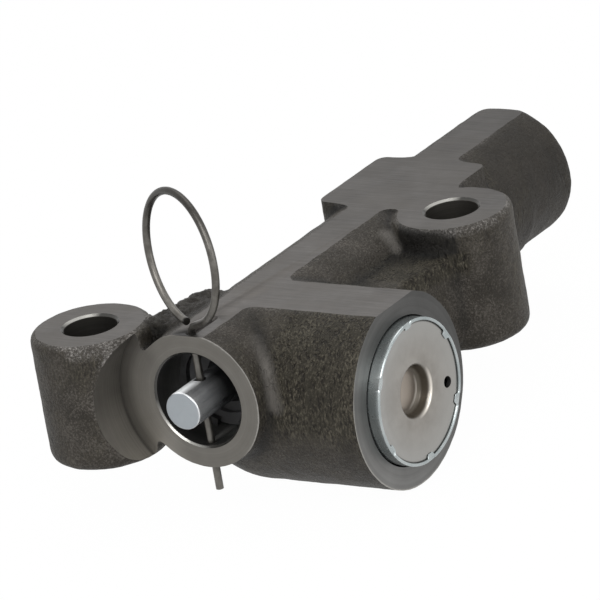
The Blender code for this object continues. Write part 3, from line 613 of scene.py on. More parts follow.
def toned(tree, colour, value, *ramp):
    """Scale a colour by a ramp: where it starts and stops, and the tone at both ends."""
    return shaded(tree, remapped(tree, value, *ramp), colour)


def place_of(tree):
    """The point's place in the frame of the part."""
    return tree.nodes.new("ShaderNodeTexCoord").outputs["Object"]


def noise_at(tree, place, scale, detail=2.0, roughness=0.5):
    """Noise at a place; returns its value."""
    made = node(tree, "ShaderNodeTexNoise", {"Vector": place, "Scale": scale, "Detail": detail,
                                             "Roughness": roughness})
    return made.outputs[0]


def stored(tree, name):
    """The value of that name at a point of the mesh."""
    return node(tree, "ShaderNodeAttribute", attribute_name=name).outputs["Fac"]


def sand_grain(group, given):
    """Surface left by the sand mould: mottled tone, dense grit and scattered pits."""
    place = vector_maths(group, "MULTIPLY", place_of(group), given["Draw"])
    grit = noise_at(group, place, given["Grain"], detail=4.0, roughness=0.75)
    worm_scale = times(group, given["Grain"], WORM_SHARE)
    worm = noise_at(group, place, worm_scale, detail=3.0, roughness=0.55)
    pit = remapped(group, worm, *PIT_RANGE)
    mottle = noise_at(group, place, MOTTLE_SCALE, detail=4.0, roughness=0.6)
    fleck = maths(group, "ADD", grit, times(group, mottle, SPECK_MOTTLE))
    return {
        "Height": maths(group, "SUBTRACT", grit, times(group, pit, given["Pits"])),
        "Tone": remapped(group, mottle, *MOTTLE_RANGE),
        "Speck": remapped(group, fleck, *SPECK_RANGE),
        "Pit": pit,
    }


def smeared(group, lines, line_share, smear_scale, smear_share):
    """Tone of fine machined lines under the smears of handling."""
    smear = noise_at(group, place_of(group), smear_scale, detail=3.0, roughness=0.6)
    tone = maths(group, "ADD", times(group, lines, line_share), times(group, smear, smear_share))
    return remapped(group, tone, *MARK_RANGE)


def tool_marks(group, given):
    """Fine straight lines left by a milling cutter, drawn out along one direction."""
    place = vector_maths(group, "MULTIPLY", place_of(group), given["Stretch"])
    lines = noise_at(group, place, 1.0, detail=3.0, roughness=0.6)
    return {"Height": lines, "Tone": smeared(group, lines, *TOOL_SMEAR)}


def turning_marks(group, given):
    """Rings and lines left by a lathe or boring tool round one axis."""
    place = vector_maths(group, "SUBTRACT", place_of(group), given["Centre"])
    flat = vector_maths(group, "MULTIPLY", place, given["Across"])
    radius = measured(group, "LENGTH", flat)
    station = reach_along(group, place, given["Along"])
    pair = node(group, "ShaderNodeCombineXYZ", {"X": radius, "Y": station}).outputs[0]
    rings = noise_at(group, pair, given["Pitch"], detail=3.0, roughness=0.55)
    return {"Height": rings, "Tone": smeared(group, rings, *TURNED_SMEAR), "Radius": radius}


def rubbed_edge(group, given):
    """Mask of the cast skin next to a machined edge, broken up by the grain."""
    share = maths(group, "DIVIDE", stored(group, "cut_distance"), given["Width"])
    grit = noise_at(group, place_of(group), RUBBED_GRIT_SCALE, detail=3.0, roughness=0.7)
    broken = maths(group, "ADD", share, times(group, grit, RUBBED_GRIT_SHARE))
    return {"Mask": remapped(group, broken, *RUBBED_RAMP)}


def smudges(group, given):
    """Large soft patches of handling marks."""
    patch = noise_at(group, place_of(group), given["Size"], detail=5.0, roughness=0.6)
    return {"Mask": remapped(group, patch, *SMUDGE_RANGE)}


def effect_group(name, build, inputs):
    """A node group with named inputs; build adds its nodes and returns its outputs by name."""
    group = bpy.data.node_groups.new(name, "ShaderNodeTree")
    for socket, value in inputs.items():
        kind = "NodeSocketVector" if isinstance(value, tuple) else "NodeSocketFloat"
        made = group.interface.new_socket(socket, in_out="INPUT", socket_type=kind)
        made.default_value = value
    results = build(group, group.nodes.new("NodeGroupInput").outputs)
    for socket in results:
        group.interface.new_socket(socket, in_out="OUTPUT", socket_type="NodeSocketFloat")
    target = group.nodes.new("NodeGroupOutput")
    for socket, value in results.items():
        group.links.new(value, target.inputs[socket])
    return group


EFFECTS = {
    "sand grain": effect_group("sand grain", sand_grain,
                               {"Grain": 1400.0, "Pits": 0.3, "Draw": (1.0, 1.0, 1.0)}),
    "tool marks": effect_group("tool marks", tool_marks, {"Stretch": (60.0, 3000.0, 3000.0)}),
    "turning marks": effect_group("turning marks", turning_marks,
                                  {"Pitch": 2500.0, **BARREL_LATHE}),
    "rubbed edge": effect_group("rubbed edge", rubbed_edge, {"Width": 0.0009}),
    "smudges": effect_group("smudges", smudges, {"Size": 120.0}),
}


def effect(tree, name, **values):
    """Place an effect group in a material with its own values; returns its outputs."""
    made = tree.nodes.new("ShaderNodeGroup")
    made.node_tree = EFFECTS[name]
    for socket, value in values.items():
        made.inputs[socket].default_value = value
    return made.outputs


def smudged(tree, size):
    """Mask of soft patches of one size."""
    return effect(tree, "smudges", Size=size)["Mask"]


Look = namedtuple("Look", "material tree shader")


def new_look(name, metallic=0.0):
    """A material with one Principled shader, and its node tree."""
    material = bpy.data.materials.new(name)
    material.use_nodes = True
    shader = material.node_tree.nodes["Principled BSDF"]
    shader.inputs["Metallic"].default_value = metallic
    return Look(material, material.node_tree, shader)


def dressed(look, colour, rough, height, strength, distance):
    """Give the shader of a look its colour, roughness and relief; returns the material."""
    relief = node(look.tree, "ShaderNodeBump", {"Height": height, "Strength": strength,
                                                "Distance": distance})
    look.tree.links.new(colour, look.shader.inputs["Base Color"])
    look.tree.links.new(rough, look.shader.inputs["Roughness"])
    look.tree.links.new(relief.outputs[0], look.shader.inputs["Normal"])
    return look.material


def zone(tree, axes, spans, soft):
    """One inside a box, fading out over a soft edge."""
    mask = 1.0
    for axis, (low, high) in spans.items():
        mask = times(tree, band(tree, axes[axis], low - soft, low, high, high + soft), mask)
    return mask


def streak(tree, start, stop, width, first, last):
    """A soft streak between two points that changes its strength on the way."""
    place = place_of(tree)
    run = Vector(stop) - Vector(start)
    reach = reach_along(tree, vector_maths(tree, "SUBTRACT", place, start), tuple(run))
    share = remapped(tree, reach, 0.0, run.length_squared)
    nearest = vector_maths(tree, "ADD", shaded(tree, share, tuple(run)), start)
    gap = measured(tree, "DISTANCE", place, nearest)
    core = STREAK_CORE * width
    return times(tree, remapped(tree, gap, width, core), graded(tree, share, first, last))


def worn_skin(tree, axes):
    """Mask of the cast skin that handling has worn bright, next to the machined edges."""
    wear_and_highlight = effect(tree, "rubbed edge", Width=RUBBED_WIDTH)["Mask"]
    worn = times(tree, wear_and_highlight, smudged(tree, WORN_PATCH_SIZE))
    high = remapped(tree, axes["Z"], *WORN_HEIGHT)
    handled = larger(tree, remapped(tree, axes["Y"], *WORN_LEFT),
                     remapped(tree, axes["X"], *WORN_RIGHT))
    handled = times(tree, handled, remapped(tree, axes["X"], *WORN_REAR))
    worn = times(tree, worn, times(tree, high, handled))
    for spans, soft, share in FROSTED_ZONES:
        worn = larger(tree, worn, times(tree, zone(tree, axes, spans, soft), share))
    return worn


def cast_skin():
    """Dark oxidised skin of the casting, pitted on the reservoir barrel's upper side, with painted
    shade in hollows and pockets and towards the rear, and painted highlights on fillets.
    """
    look = new_look("cast iron skin", metallic=0.35)
    tree = look.tree
    look.shader.inputs["Specular IOR Level"].default_value = 0.30
    grain = effect(tree, "sand grain", Grain=2300.0, Pits=0.35)
    coarse = effect(tree, "sand grain", Grain=2300.0, Pits=0.8, Draw=(1.0, 1.0, 0.45))
    axes = axes_of(tree, place_of(tree))
    pitted = remapped(tree, smudged(tree, PITTED_PATCH_SIZE), *PITTED_PATCHES)
    for spans, soft in PITTED_ZONES:
        pitted = larger(tree, zone(tree, axes, spans, soft), pitted)
    mottled = blended(tree, grain["Tone"], *SKIN_TONES)
    flecks = times(tree, grain["Speck"], remapped(tree, axes["X"], *FLECK_RAMP))
    flecked = blended(tree, flecks, mottled, SKIN_FLECK)
    olive = blended(tree, coarse["Speck"], blended(tree, coarse["Pit"], *PITTED_TONES),
                    PITTED_FLECK)
    skin = blended(tree, pitted, flecked, olive)
    # Painted shade in the hollows of the casting
    skin = shaded(tree, graded(tree, stored(tree, "hollow_shade"), 1.0, HOLLOW_SHADE_TONE), skin)
    # Painted shade in the pocket below the right boss and in front of the flange, and the pad's
    # darker tone
    for spans, soft, tone in SHADED_ZONES:
        skin = shaded(tree, graded(tree, zone(tree, axes, spans, soft), 1.0, tone), skin)
    # Painted shade towards the rear end
    skin = toned(tree, skin, axes["X"], *REAR_SHADE)
    # Painted highlights on the fillets that face the light
    fillet = 0.0
    for wear_and_highlight in FILLET_HIGHLIGHTS:
        fillet = larger(tree, streak(tree, *wear_and_highlight), fillet)
    skin = blended(tree, fillet, skin, FILLET_HIGHLIGHT_TONE)
    bright = blended(tree, grain["Speck"], *WORN_TONES)
    height = node(tree, "ShaderNodeMix", {"Factor": pitted, 2: grain["Height"],
                                          3: coarse["Height"]}).outputs[0]
    return dressed(look, blended(tree, worn_skin(tree, axes), skin, bright),
                   graded(tree, grain["Tone"], *SKIN_ROUGHNESS), height, strength=0.90,
                   distance=0.00040)


def milled_face():
    """Milled plane on top of the casting, with grease round the locking pin."""
    look = new_look("milled iron", metallic=0.75)
    tree = look.tree
    place = place_of(tree)
    marks = effect(tree, "tool marks", Stretch=(2600.0, 90.0, 900.0))
    face = blended(tree, marks["Tone"], *MILLED_TONES)
    face = blended(tree, smudged(tree, MILLED_PATCH_SIZE), face, MILLED_PATCH)
    face = shaded(tree, graded(tree, smudged(tree, MILLED_CLOUD_SIZE), *MILLED_CLOUDS), face)
    # Darker towards the rear end of the plane
    face = toned(tree, face, axes_of(tree, place)["X"], *MILLED_REAR_DARKENING)
    face = toned(tree, face, measured(tree, "DISTANCE", place, GREASE_PLACE), *GREASE_RAMP)
    return dressed(look, face, graded(tree, marks["Tone"], *MILLED_ROUGHNESS), marks["Height"],
                   strength=0.35, distance=0.00006)


def turned_face(name, lathe, dark, light, rim=None, sheen=0.0, radial_shade=None, corner=None,
                chamfer=None, entry=None, painted_lit_side=None):
    """A face or wall cut by a lathe round one axis.

    rim is the radius and direction of an outer edge with a painted highlight on its lit side,
    and sheen how much paler the face is painted on that side and darker on the other.
    radial_shade is a ramp of painted shade over the radius, entry a ramp of painted shade over
    the depth of a bore, and painted_lit_side a direction and the ramp of painted light that
    follows it. corner is the radius and station of a corner with painted shade, with the painted
    tones of the wall beside it below and above. chamfer is the radius of a fresh chamfer and the
    direction of the painted highlight on it.
    """
    look = new_look(name, metallic=0.80)
    tree = look.tree
    marks = effect(tree, "turning marks", Pitch=2600.0, **lathe)
    radius = marks["Radius"]
    away = vector_maths(tree, "SUBTRACT", place_of(tree), lathe["Centre"])
    reach = reach_along(tree, away, lathe["Along"])
    face = blended(tree, marks["Tone"], dark, light)
    rough = graded(tree, marks["Tone"], *TURNED_ROUGHNESS)
    # Painted shade over a range of radii
    if radial_shade:
        face = toned(tree, face, radius, *radial_shade)
    # Painted shade over the depth of a bore, darker nearer its mouth
    if entry:
        face = toned(tree, face, reach, *entry)
    # Painted light: the face made lighter in one direction
    if painted_lit_side:
        side, *ramp = painted_lit_side
        face = toned(tree, face, reach_along(tree, away, side), *ramp)
    # Painted shade in the corner, with the wall beside it given its painted tones by height
    if corner:
        edge, station, *tones = corner
        wall = remapped(tree, axes_of(tree, away)["Z"], *CORNER_LEVELS, *tones)
        face = toned(tree, face, reach, station - SEAM_START, station - 2.0 * SEAM_START, 1.0,
                     wall)
        deep = remapped(tree, reach, station - SEAM_START, station - SEAM_STOP)
        near = remapped(tree, radius, edge - SEAM_START, edge - SEAM_STOP)
        face = shaded(tree, graded(tree, times(tree, deep, near), 1.0, CORNER_SHADE), face)
    # Painted light: the face paler on one side and darker on the other, and a highlight on the lit
    # side of its edge
    if rim:
        edge, side = rim
        toward = reach_along(tree, away, side)
        face = toned(tree, face, toward, -edge, edge, 1.0 - sheen, 1.0 + sheen)
        grit = times(tree, noise_at(tree, place_of(tree), RIM_GRIT_SCALE), RIM_GRIT_SIZE)
        line = remapped(tree, maths(tree, "ADD", radius, grit), edge - RIM_LINE_IN,
                        edge + RIM_LINE_OUT)
        lit = remapped(tree, toward, RIM_LIT_START * edge, RIM_LIT_STOP * edge)
        face = blended(tree, times(tree, line, lit), face, RIM_TONE)
    # A fresh chamfer, with a painted highlight on the side facing the light
    if chamfer:
        edge, side = chamfer
        fresh = remapped(tree, radius, edge, edge + FRESH_CUT)
        lit = remapped(tree, reach_along(tree, away, side), CHAMFER_LIT_START * edge, edge,
                       *CHAMFER_SHARES)
        face = blended(tree, fresh, face, shaded(tree, lit, CHAMFER_TONE))
        rough = maths(tree, "SUBTRACT", rough, times(tree, fresh, CHAMFER_SMOOTHER))
    return dressed(look, face, rough, marks["Height"], strength=0.30, distance=0.00006)


def pressed_disc_sheet(look, radius, sheet):
    """The disc's paler edge, painted shade in its joint with the rim, its oiled dimple and the
    dimple's painted highlights.
    """
    tree = look.tree
    outside = remapped(tree, radius, *DISC_PALE_RAMP)
    sheet = blended(tree, outside, sheet, DISC_PALE)
    # Painted shade in the joint with the rim
    sheet = toned(tree, sheet, radius, DISC_SEAM - SEAM_START, DISC_SEAM - SEAM_STOP, 1.0,
                  SEAM_SHADE_TONE)
    # The dimple's oil film: dark on the wall, partly painted shade, and paler on the floor
    inside = remapped(tree, radius, DIMPLE_RADIUS + OIL_FILM_EDGE, DIMPLE_RADIUS)
    floor = remapped(tree, radius, DIMPLE_RADIUS - OIL_FILM_START, DIMPLE_RADIUS - OIL_FILM_STOP)
    sheet = blended(tree, inside, sheet, blended(tree, floor, *DIMPLE_TONES))
    oiled = times(tree, inside, maths(tree, "SUBTRACT", 1.0, floor))
    metallic = graded(tree, oiled, ZINC_METALLIC, OIL_METALLIC)
    tree.links.new(metallic, look.shader.inputs["Metallic"])
    away = vector_maths(tree, "SUBTRACT", place_of(tree), RESERVOIR_CENTRE)
    # Painted highlight on the lit side of the dimple's rolled lip and of the bend at its floor
    lit = remapped(tree, reach_along(tree, away, DIMPLE_LIT_SIDE), *DIMPLE_LIT_RAMP)
    rolled = band(tree, radius, *DIMPLE_ROLLED)
    bent = band(tree, radius, *DIMPLE_BENT)
    dimple_highlight = larger(tree, rolled, times(tree, bent, DIMPLE_BENT_SHARE))
    return blended(tree, times(tree, dimple_highlight, lit), sheet, DIMPLE_HIGHLIGHT_TONE)


def zinc_sheet(name, dark, light, roughness, pressed=False):
    """Bright zinc plated sheet; the pressed disc adds its joint's painted shade and its dimple's
    painted highlights.
    """
    look = new_look(name, metallic=ZINC_METALLIC)
    tree = look.tree
    patches = smudged(tree, ZINC_PATCH_SIZE)
    marks = effect(tree, "turning marks", Pitch=1800.0, **RESERVOIR_LATHE)
    sheet = blended(tree, patches, light, dark)
    if pressed:
        sheet = pressed_disc_sheet(look, marks["Radius"], sheet)
    return dressed(look, sheet, graded(tree, patches, roughness, roughness + ZINC_DULLER),
                   marks["Height"], strength=0.08, distance=0.00003)


def polished_chrome(name, dark, light, metallic, roughness, painted_rod_light=False):
    """Hard chrome with drawn streaks along X.

    On the rod, its flag adds painted shade that darkens it deeper in the bore, a painted highlight
    streak along its upper side and a painted highlight on the lit edge of its tip.
    """
    look = new_look(name, metallic=metallic)
    tree = look.tree
    marks = effect(tree, "tool marks", Stretch=(60.0, 1100.0, 1100.0))
    chrome = blended(tree, marks["Tone"], dark, light)
    if painted_rod_light:
        place = place_of(tree)
        station = axes_of(tree, place)["X"]
        # Painted shade that darkens the rod deeper in the bore
        rod_bore_shade = remapped(tree, station, *ROD_BORE_SHADE)
        # Painted highlight streak along the rod's upper side
        painted_lit_side = remapped(tree, reach_along(tree, place, ROD_HIGHLIGHT_SIDE), *ROD_HIGHLIGHT_RAMP)
        edge = remapped(tree, station, *ROD_EDGE_RAMP)
        lit = remapped(tree, reach_along(tree, place, ROD_LIT_SIDE), *ROD_LIT_RAMP)
        # Painted highlights: the streak outside the bore and the lit edge of the tip
        rod_highlight = larger(tree, times(tree, painted_lit_side, rod_bore_shade), times(tree, edge, lit))
        chrome = blended(tree, rod_highlight, shaded(tree, rod_bore_shade, chrome), ROD_HIGHLIGHT_TONE)
        metallic = graded(tree, rod_highlight, metallic, ROD_HIGHLIGHT_METALLIC)
        tree.links.new(metallic, look.shader.inputs["Metallic"])
    rough = graded(tree, marks["Tone"], roughness + CHROME_DULLER, roughness - CHROME_SMOOTHER)
    return dressed(look, chrome, rough, marks["Height"], strength=0.05, distance=0.00003)


def drawn_wire(name, dark, light, roughness):
    """Dull drawn steel wire, with painted shade towards the top of the pull ring and at its
    sheared end.
    """
    look = new_look(name, metallic=0.9)
    tree = look.tree
    place = place_of(tree)
    patches = smudged(tree, WIRE_PATCH_SIZE)
    grain = effect(tree, "sand grain", Grain=3200.0, Pits=0.1)
    # Painted shade towards the top of the pull ring
    wire = toned(tree, blended(tree, patches, dark, light), axes_of(tree, place)["Z"],
                 *RING_TOP_SHADE)
    # Painted shade at the free end of the wire
    wire = toned(tree, wire, measured(tree, "DISTANCE", place, tuple(pin_path()[-1])),
                 *WIRE_END_SHADE)
    return dressed(look, wire, graded(tree, patches, roughness, roughness + WIRE_DULLER),
                   grain["Height"], strength=0.12, distance=0.00003)


def ground_steel(name, dark, light):
    """Ground steel of the plunger and valve seat."""
    look = new_look(name, metallic=1.0)
    tree = look.tree
    marks = effect(tree, "turning marks", Pitch=3200.0, **BARREL_LATHE)
    return dressed(look, blended(tree, marks["Tone"], dark, light),
                   graded(tree, marks["Tone"], *GROUND_ROUGHNESS), marks["Height"],
                   strength=0.12, distance=0.00003)


def moulded(name, dark, light, roughness, grain_size):
    """Moulded or sintered material with a fine grain."""
    look = new_look(name)
    tree = look.tree
    grain = effect(tree, "sand grain", Grain=grain_size, Pits=0.2)
    return dressed(look, blended(tree, grain["Tone"], dark, light),
                   graded(tree, grain["Tone"], roughness, roughness + MOULDED_DULLER),
                   grain["Height"], strength=0.2, distance=0.00005)


def make_finishes():
    """Every finish of the tensioner, by name, each with its dark and its light tone."""
    bolt_chamfer = (BOLT_HOLE_RADIUS + FRESH_CUT, (0.50, 0.87, 0.0))
    left = {"Centre": (*LEFT_BOSS, 0.0), "Across": (1.0, 1.0, 0.0), "Along": (0.0, 0.0, 1.0)}
    right = dict(left, Centre=(*RIGHT_BOSS, 0.0))
    return {
        "skin": cast_skin(),
        "milled": milled_face(),
        # Painted light on the mouth face: a highlight on the lit side of its outer edge, shade
        # towards the spot face's wall and in its corner, the wall lighter lower down, and the face
        # lighter towards the lower left
        "mouth": turned_face(
            "turned mouth face", BARREL_LATHE, (0.118, 0.111, 0.099), (0.166, 0.158, 0.143),
            rim=(BARREL_RADIUS, (0.0, -0.87, 0.50)),
            radial_shade=(MOUTH_SHADE_START, MOUTH_SHADE_STOP, 1.0, 0.62),
            corner=(SPOT_FACE_RADIUS, MOUTH_X, 1.75, 1.10),
            painted_lit_side=((0.0, 0.96, -0.29), 0.0075, 0.0125, 1.0, 1.50)),
        # Painted light on the faced end: paler towards the lower left, darker at the top, and a
        # highlight on the lit side of its rim
        "faced end": turned_face(
            "faced reservoir end", RESERVOIR_LATHE, (0.088, 0.087, 0.084), (0.130, 0.129, 0.125),
            rim=(RESERVOIR_RADIUS, (-0.75, 0.0, -0.66)), sheen=0.48),
        # Painted shade near the bore's mouth and a painted highlight on the lit side of its
        # chamfer
        "main bore": turned_face(
            "main bore wall", BARREL_LATHE, (0.110, 0.109, 0.105), (0.195, 0.193, 0.186),
            chamfer=(MOUTH_BORE_RADIUS + FRESH_CUT, (0.0, 0.64, -0.77)),
            entry=(0.0095, 0.0130, 0.50, 1.0)),
        # Darker tones than the main bore: painted shade inside the closed reservoir and the oil
        # duct
        "oil bore": turned_face(
            "oil bore wall", RESERVOIR_LATHE, (0.045, 0.044, 0.042), (0.080, 0.078, 0.075)),
        # The left bolt hole's wall has darker tones than the right one's: painted shade
        "left hole": turned_face(
            "left bolt hole wall", left, (0.038, 0.036, 0.032), (0.075, 0.071, 0.064),
            chamfer=bolt_chamfer),
        "right hole": turned_face(
            "right bolt hole wall", right, (0.054, 0.051, 0.045), (0.105, 0.099, 0.088),
            chamfer=bolt_chamfer),
        "cup": zinc_sheet(
            "zinc plated cup", (0.30, 0.34, 0.345), (0.44, 0.47, 0.47), roughness=0.22),
        "disc": zinc_sheet(
            "zinc plated disc", (0.235, 0.220, 0.200), (0.300, 0.285, 0.262), roughness=0.30,
            pressed=True),
        # The vent hole's wall is near black: painted shade in the hole
        "vent": zinc_sheet("vent wall", (0.05, 0.05, 0.05), (0.08, 0.08, 0.08), roughness=0.5),
        # Painted shade in the bore and painted highlights on the rod
        "chrome": polished_chrome(
            "polished chrome", (0.09, 0.094, 0.10), (0.56, 0.57, 0.58), metallic=0.75,
            roughness=0.24, painted_rod_light=True),
        "steel ball": polished_chrome(
            "bearing ball steel", (0.40, 0.40, 0.41), (0.5, 0.5, 0.51), metallic=1.0,
            roughness=0.12),
        "rod tip": polished_chrome(
            "ground rod tip", (0.31, 0.335, 0.355), (0.33, 0.355, 0.375), metallic=0.85,
            roughness=0.34),
        "pin wire": drawn_wire(
            "pin wire", (0.085, 0.080, 0.072), (0.150, 0.143, 0.131), roughness=0.34),
        "spring wire": drawn_wire(
            "spring wire", (0.12, 0.115, 0.11), (0.24, 0.23, 0.22), roughness=0.32),
        # Phosphated steel of the snap ring, its near black partly painted shade inside the bore
        "black steel": drawn_wire(
            "phosphated steel", (0.050, 0.050, 0.050), (0.080, 0.080, 0.080), roughness=0.50),
        "ground steel": ground_steel("ground steel", (0.30, 0.30, 0.31), (0.46, 0.46, 0.47)),
        "rubber": moulded(
            "seal rubber", (0.048, 0.048, 0.049), (0.078, 0.078, 0.080), roughness=0.58,
            grain_size=2200.0),
        "polymer": moulded(
            "wear ring polymer", (0.085, 0.062, 0.040), (0.115, 0.088, 0.060), roughness=0.45,
            grain_size=1800.0),
        "sintered": moulded(
            "sintered bronze", (0.24, 0.17, 0.095), (0.34, 0.25, 0.15), roughness=0.42,
            grain_size=2600.0),
    }


def boss_blank(centre, edge):
    """A cast bolt boss with rounded ends, left a little tall for the milling cut."""
    foot = arc(BOSS_FOOT_Z + BOSS_FOOT_EDGE, BOSS_RADIUS - BOSS_FOOT_EDGE, BOSS_FOOT_EDGE,
               180.0, 90.0, BEND_STEPS)
    top = arc(TOP_PLANE - edge, BOSS_RADIUS - edge, edge, 90.0, BOSS_EDGE_STOP, EDGE_STEPS)
    spare = TOP_PLANE + MILLING_SPARE
    crown = [(spare, BOSS_RADIUS - edge - 2.0 * MILLING_SPARE), (spare, BOLT_HOLE_RADIUS)]
    return turned(foot + top + crown, "Z", (*centre, 0.0))


def left_web():
    """Waisted web between the mouth and the left boss."""
    half = LEFT_WEB_HEIGHT / 2.0
    top = half + LEFT_WEB_FLARE
    inner_y = MOUTH_BORE_RADIUS / 2.0
    outer_y = LEFT_BOSS[1] - BOLT_HOLE_RADIUS / 2.0
    upper = arc(LEFT_WEB_WAIST, top, LEFT_WEB_FLARE, -90.0, 0.0, BEND_STEPS)
    lower = [(y, -z) for y, z in reversed(upper)]
    outline = [(inner_y, half)] + upper + [(outer_y, top), (outer_y, -top)] + lower
    outline.append((inner_y, -half))
    return prism(outline, "X", LEFT_WEB_START, LEFT_WEB_START + LEFT_WEB_LENGTH)


def right_web():
    """Web in the corner between the reservoir barrel and the right boss."""
    inner_y = -BARREL_RADIUS / 2.0
    front_x = RESERVOIR_X + RESERVOIR_RADIUS / 2.0
    flank_x = RESERVOIR_X + RESERVOIR_RADIUS + RUN_OUT
    meet_x = RIGHT_BOSS[0] - RIGHT_WEB_MEET_X
    outline = [
        (front_x, inner_y),
        (front_x, -RIGHT_WEB_OUT),
        (flank_x, -RIGHT_WEB_OUT),
        (meet_x, RIGHT_BOSS[1] - RIGHT_WEB_MEET_Y),
        (meet_x, RIGHT_BOSS[1]),
        (RIGHT_BOSS[0] - BOSS_RADIUS, inner_y),
    ]
    return prism(outline, "Z", RIGHT_WEB_TOP - RIGHT_WEB_HEIGHT, RIGHT_WEB_TOP)


def flange_blank():
    """Flange with rounded corners, left tall for the milling cut."""
    half = PLATE_WIDTH / 2.0
    corners = [
        (PLATE_BACK - PLATE_CORNER, half - PLATE_CORNER, 0.0),
        (PLATE_FRONT + PLATE_CORNER, half - PLATE_CORNER, 90.0),
        (PLATE_FRONT + PLATE_CORNER, -half + PLATE_CORNER, 180.0),
        (PLATE_BACK - PLATE_CORNER, -half + PLATE_CORNER, 270.0),
    ]
    outline = []
    for x, y, start in corners:
        outline += arc(x, y, PLATE_CORNER, start, start + 90.0, EDGE_STEPS)
    return prism(outline, "Z", TOP_PLANE - PLATE_THICKNESS, TOP_PLANE + RUN_OUT)


def reservoir_blank():
    """Fat barrel along Y with a domed far end, left long for the facing cut."""
    profile = [(RESERVOIR_FACE_Y - RUN_OUT, RESERVOIR_RADIUS)]
    profile += arc(RESERVOIR_FAR_END - RESERVOIR_FAR_EDGE, RESERVOIR_RADIUS - RESERVOIR_FAR_EDGE,
                   RESERVOIR_FAR_EDGE, 90.0, 0.0, DOME_STEPS)
    return turned(profile, "Y", RESERVOIR_CENTRE)


def rear_blank():
    """Rear end of the barrel, set a little higher, with a rounded edge."""
    profile = [(BARREL_END_X - REAR_LENGTH, REAR_RADIUS)]
    profile += arc(BARREL_END_X - REAR_EDGE, REAR_RADIUS - REAR_EDGE, REAR_EDGE, 90.0, 0.0,
                   EDGE_STEPS)
    return turned(profile, "X", (0.0, 0.0, REAR_RISE))


def pad_blank():
    """Rough raised pad on the far side of the mouth."""
    inner = BARREL_RADIUS / 4.0
    outline = [
        (PAD_FRONT, inner),
        (PAD_FRONT, PAD_OUT_FRONT),
        (PAD_BACK - PAD_CORNER, PAD_OUT_BACK),
        (PAD_BACK, PAD_OUT_BACK - PAD_CORNER),
        (PAD_BACK, inner),
    ]
    return prism(outline, "Z", 0.0, PAD_TOP)


def relaxed(points, edges, rounds):
    """Move every point half way to the mean of its neighbours, several times over."""
    ends = np.concatenate((edges[:, 0], edges[:, 1]))
    mates = np.concatenate((edges[:, 1], edges[:, 0]))
    count = np.bincount(ends, minlength=len(points))[:, None]
    for _ in range(rounds):
        sums = [np.bincount(ends, points[mates, axis], len(points)) for axis in range(3)]
        points = (points + np.stack(sums, axis=1) / count) / 2.0
    return points


def read_array(items, field, width, kind):
    """Read one field of a mesh's points, edges or normals as an array."""
    values = np.zeros(len(items) * width, kind)
    items.foreach_get(field, values)
    return values.reshape(-1, width)


def store(mesh, name, values):
    """Store one value at each point of a mesh for the finishes to read."""
    mesh.attributes.new(name, "FLOAT", "POINT").data.foreach_set("value", values)


def on_pad(x, y, z):
    """Whether a point of the blank lies on the broken top of the pad."""
    inside = PAD_FRONT < x < PAD_BACK and BARREL_RADIUS / 2.0 < y < PAD_OUT_FRONT
    return inside and z > PAD_TOP - PAD_CORNER / 2.0


def cast_surface(item):
    """Fillet the inner corners, soften the edges and roughen the skin as a sand mould does."""
    mesh = item.data
    points = read_array(mesh.vertices, "co", 3, np.float64)
    edges = read_array(mesh.edges, "vertices", 2, np.int64)
    light = relaxed(points, edges, CAST_LIGHT_ROUNDS)
    mesh.vertices.foreach_set("co", light.ravel())
    mesh.update()
    normals = read_array(mesh.vertex_normals, "vector", 3, np.float64)
    filled = relaxed(light, edges, CAST_FILLET_ROUNDS)
    rise = np.maximum(((filled - light) * normals).sum(axis=1), 0.0)
    skin = []
    for place in light:
        spot = Vector(place)
        wave = noise.noise(spot / CAST_WAVE_SIZE) * CAST_WAVE_HEIGHT
        grit = noise.noise(spot / CAST_GRIT_SIZE) * CAST_GRIT_HEIGHT
        broken = 0.0
        if on_pad(*place):
            facets = noise.cell(spot / PAD_BROKEN_SIZE)
            ripple = noise.noise(spot / PAD_BROKEN_SIZE)
            broken = PAD_BROKEN_RISE - PAD_BROKEN_HEIGHT * abs(0.5 * facets + ripple)
        skin.append(wave + grit + broken)
    final = light + normals * (rise + np.array(skin))[:, None]
    mesh.vertices.foreach_set("co", final.ravel())
    mesh.update()
    # A wide measure of concavity at each point, stored for the painted shade in the skin's hollows
    wide = relaxed(filled, edges, 3 * CAST_FILLET_ROUNDS)
    depth = ((wide - light) * normals).sum(axis=1) / HOLLOW_DEPTH
    store(mesh, "hollow_shade", np.clip(depth, 0.0, 1.0))


def mark_cut_edges(item):
    """Keep machined edges sharp and store each point's distance to the nearest one."""
    mesh = item.data
    bm = bmesh.new()
    bm.from_mesh(mesh)
    rim = set()
    for edge in bm.edges:
        faces = edge.link_faces
        if len(faces) == 2 and faces[0].material_index != faces[1].material_index:
            edge.smooth = False
            rim.update(edge.verts)
    bm.to_mesh(mesh)
    tree = kdtree.KDTree(len(rim))
    for vert in rim:
        tree.insert(vert.co, vert.index)
    tree.balance()
    distance = [tree.find(vert.co)[2] for vert in bm.verts]
    bm.free()
    store(mesh, "cut_distance", distance)


def main_bore_cutter():
    """Stepped bore with a chamfered mouth."""
    profile = [
        (MOUTH_X - RUN_OUT, MOUTH_BORE_RADIUS + MOUTH_CHAMFER + RUN_OUT),
        (MOUTH_X + MOUTH_CHAMFER, MOUTH_BORE_RADIUS),
        (SHOULDER_X, MOUTH_BORE_RADIUS),
        (SHOULDER_X, PRESSURE_BORE_RADIUS),
        (BORE_END_X, PRESSURE_BORE_RADIUS),
    ]
    return turned(profile, "X")


